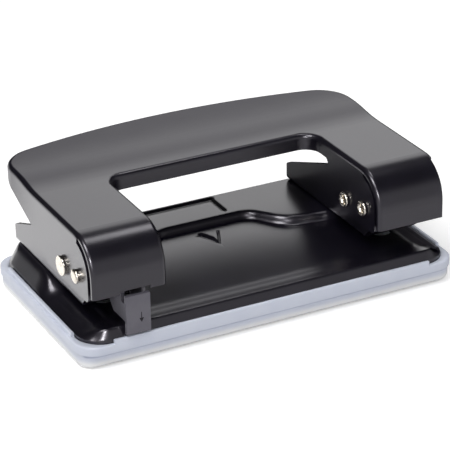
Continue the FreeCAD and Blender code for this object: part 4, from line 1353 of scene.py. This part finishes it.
ENAMEL = Enamel()
BASE_ENAMEL = Enamel("base_enamel", matt_end=1.0)
LEVER_ENAMEL = Enamel("lever_enamel", dulled=(2.0 * MM, 32.0 * MM), dulling=1.0)
LATCH_ENAMEL = Enamel("latch_enamel", colour=(0.075, 0.072, 0.090), rubbed=(0.10, 0.096, 0.115),
                      gloss=0.42)
# Near-black painted shade, standing for the dark inside the latch arrow's pressed groove.
SHADOW_ENAMEL = Enamel("painted_groove_shade", colour=(0.001, 0.001, 0.001), rubbed=(0.002, 0.002, 0.002),
                       gloss=0.7, coat=0.0)
POLYTHENE = MilkyPlastic()
NICKEL = BareSteel("nickel_plate", Slot.NICKEL, (0.82, 0.77, 0.69), (0.52, 0.46, 0.38), 0.22)
TOOL_STEEL = BareSteel("ground_steel", Slot.TOOL, (0.62, 0.62, 0.63), (0.45, 0.45, 0.46), 0.24)
SPRING_STEEL = BareSteel("spring_wire", Slot.SPRING, (0.50, 0.50, 0.51), (0.30, 0.30, 0.31), 0.30)
RIVET_STEEL = BareSteel("rivet_steel", Slot.RIVET, (0.60, 0.59, 0.58), (0.42, 0.41, 0.40), 0.32)

Finish = Union[Enamel, MilkyPlastic, BareSteel]


class Paintbox:
    """Makes each finish's material once and puts it on pieces and nodes."""

    def __init__(self) -> None:
        """Starts with no material made."""
        self.made: dict[str, bpy.types.Material] = {}

    def put(self, finish: Finish, piece: bpy.types.Object) -> None:
        """Gives a piece or a node its finish.

        Args:
            finish: what it is finished in.
            piece: the object.
        """
        if finish.name not in self.made:
            self.made[finish.name] = finish.material()
        piece.data.materials.clear()
        piece.data.materials.append(self.made[finish.name])


@dataclass(frozen=True)
class Lamp:
    """A square soft lamp: where it hangs, what it faces and its side in metres, power in watts."""

    name: str
    place: Triple
    aim: Triple
    size: float
    power: float
    lights_matt: bool = True

    def hang(self) -> None:
        """Hangs the lamp. One that lights nothing matt is seen only in shine, as a glint."""
        light = bpy.data.lights.new(self.name, "AREA")
        light.shape = "SQUARE"
        light.size = self.size
        light.energy = self.power
        lamp = place_object(self.name, light)
        lamp.location = self.place
        direction = Vector(self.aim) - Vector(self.place)
        lamp.rotation_euler = direction.to_track_quat("-Z", "Y").to_euler()
        lamp.visible_diffuse = self.lights_matt


@dataclass
class Studio:
    """The camera, a white floor and soft light. Sizes are in metres, angles in degrees."""

    azimuth: float = -26.4267
    elevation: float = 25.5116
    roll: float = -1.072
    target: Triple = (3.1968 * MM, 5.9814 * MM, 12.7564 * MM)
    distance: float = 597.357 * MM
    focal_length: float = 181.867
    sensor: float = 36.0
    clip: Pair = (0.01, 20.0)
    floor_size: float = 4.0
    floor_colour: float = 0.80
    floor_glow: float = 0.35
    floor_shine: float = 0.25
    front_shine: float = 0.40
    front_edges: Pair = (0.00, 0.04)
    left_shine: float = 1.05
    left_edges: Pair = (0.025, 0.055)
    right_dim: float = 0.22
    right_edges: Pair = (0.03, 0.07)
    daylight: float = 0.55
    dim_rear: float = 0.03
    dim_front: float = 0.46
    front_width: Pair = (-0.2, 0.5)
    front_height: Pair = (0.40, 0.66)
    card_way: Triple = (0.420, 0.760, 0.500)
    card_edges: Pair = (0.948, 0.978)
    card_shine: float = 1.14
    lamps: tuple[Lamp, ...] = (
        Lamp("key_lamp", (-0.36, -0.16, 0.78), (0.0, 0.0, 0.0), 0.34, 3.6),
        Lamp("front_lamp", (-0.45, -0.80, 0.46), (0.0, 0.0, 0.0), 0.25, 0.9),
        Lamp("near_lamp", (0.085, 0.025, 0.310), (-0.035, -0.022, 0.032), 0.08, 0.09),
        Lamp("glint_lamp", (-0.24, -0.45, 0.36), (0.0, 0.0, 0.01), 0.05, 1.2, lights_matt=False),
    )

    def axes(self) -> tuple[Vector, Vector, Vector]:
        """The camera's right, up and back directions.

        Returns:
            Three unit vectors.
        """
        turn = math.radians(self.azimuth)
        lift = math.radians(self.elevation)
        lean = math.radians(self.roll)
        back = Vector((
            math.sin(turn) * math.cos(lift), -math.cos(turn) * math.cos(lift), math.sin(lift)
        ))
        level = Vector((math.cos(turn), math.sin(turn), 0.0))
        upright = back.cross(level)
        right = level * math.cos(lean) + upright * math.sin(lean)
        up = upright * math.cos(lean) - level * math.sin(lean)
        return right, up, back

    def place_camera(self) -> None:
        """Makes the camera and looks at the punch from its front left."""
        right, up, back = self.axes()
        lens = bpy.data.cameras.new("camera")
        lens.lens = self.focal_length
        lens.sensor_width = self.sensor
        lens.clip_start, lens.clip_end = self.clip
        camera = place_object("camera", lens)
        turned = Matrix((right, up, back)).transposed().to_4x4()
        camera.matrix_world = Matrix.Translation(Vector(self.target) + back * self.distance) @ turned
        bpy.context.scene.camera = camera

    def lay_floor(self) -> None:
        """Lays a white floor that keeps a soft shadow.

        It glows to the camera. To mirrors its glow is painted light, as a window on the left would give:
        dim behind the punch and on its right, paler in front of it and palest on its left.
        """
        half = self.floor_size / 2
        corners = [(-half, -half, 0.0), (half, -half, 0.0), (half, half, 0.0), (-half, half, 0.0)]
        mesh = bpy.data.meshes.new("floor")
        mesh.from_pydata(corners, [], [(0, 1, 2, 3)])
        floor = place_object("floor", mesh)
        floor.location.z = FLOOR_DROP
        graph = Graph(bpy.data.materials.new("white_floor"))
        seen, mirrored = graph.rays()
        # Painted light: the glow that mirrors see varies with place, palest on the left and in front.
        front = graph.along(FORWARD).ramp(*self.front_edges)
        left = graph.along(LEFTWARD).ramp(*self.left_edges)
        right = graph.along(RIGHTWARD).ramp(*self.right_edges)
        aside = self.left_shine * left - self.right_dim * right
        shine = self.floor_shine + self.front_shine * front + aside * (1.0 - front)
        glow = seen * self.floor_glow
        graph.surface(
            Base_Color=(self.floor_colour,) * 3,
            Roughness=1.0,
            Specular_IOR_Level=0.0,
            Emission_Color=(1.0, 1.0, 1.0),
            Emission_Strength=glow + mirrored * (shine - self.floor_colour),
        )
        mesh.materials.append(graph.owner)

    def light_world(self) -> None:
        """White to the camera, soft daylight on the object, and a dim room to mirrors.

        What mirrors see is dim behind and brighter in front, with one large pale card behind.
        """
        world = bpy.data.worlds.new("studio")
        graph = Graph(world)
        seen, mirrored = graph.rays()
        way = graph.node("ShaderNodeTexCoord", {}, {}).outputs["Generated"]
        card = graph.along(self.card_way, way).ramp(*self.card_edges)
        high = graph.along(UPWARD, way).ramp(*self.front_height)
        front = graph.along(FORWARD, way).ramp(*self.front_width) * (1.0 - high)
        room = self.dim_rear + (self.dim_front - self.dim_rear) * front
        room = room + card * self.card_shine
        plain = (1.0 - seen) * (1.0 - mirrored) * self.daylight
        graph.backdrop(seen + mirrored * (1.0 - seen) * room + plain)
        bpy.context.scene.world = world

    def build(self) -> None:
        """Sets up the view, the floor and the light."""
        bpy.context.scene.view_settings.view_transform = "Standard"
        self.place_camera()
        self.lay_floor()
        self.light_world()
        for lamp in self.lamps:
            lamp.hang()
        LOG.info("studio is set")


def main() -> None:
    """Builds the studio and dresses every part."""
    logging.basicConfig(level=logging.INFO, format="%(name)s: %(message)s")
    Studio().build()
    paintbox = Paintbox()
    finishes = (ENAMEL, POLYTHENE, NICKEL, TOOL_STEEL, SPRING_STEEL, RIVET_STEEL)
    by_slot = {finish.slot: finish for finish in finishes}
    for node in frame["nodes"].values():
        slot = Slot(node.data.materials[0].name.split(".")[0])
        paintbox.put(by_slot[slot], node)
    paintbox.put(LEVER_ENAMEL, frame["nodes"]["lever_handle"])
    paintbox.put(LATCH_ENAMEL, frame["nodes"]["lock_latch"])
    for assembly in (BasePlate(), ChipTray(), LeverPins(), PunchSprings(), LatchMark()):
        assembly.dress(paintbox)


if __name__ == "__main__":
    main()
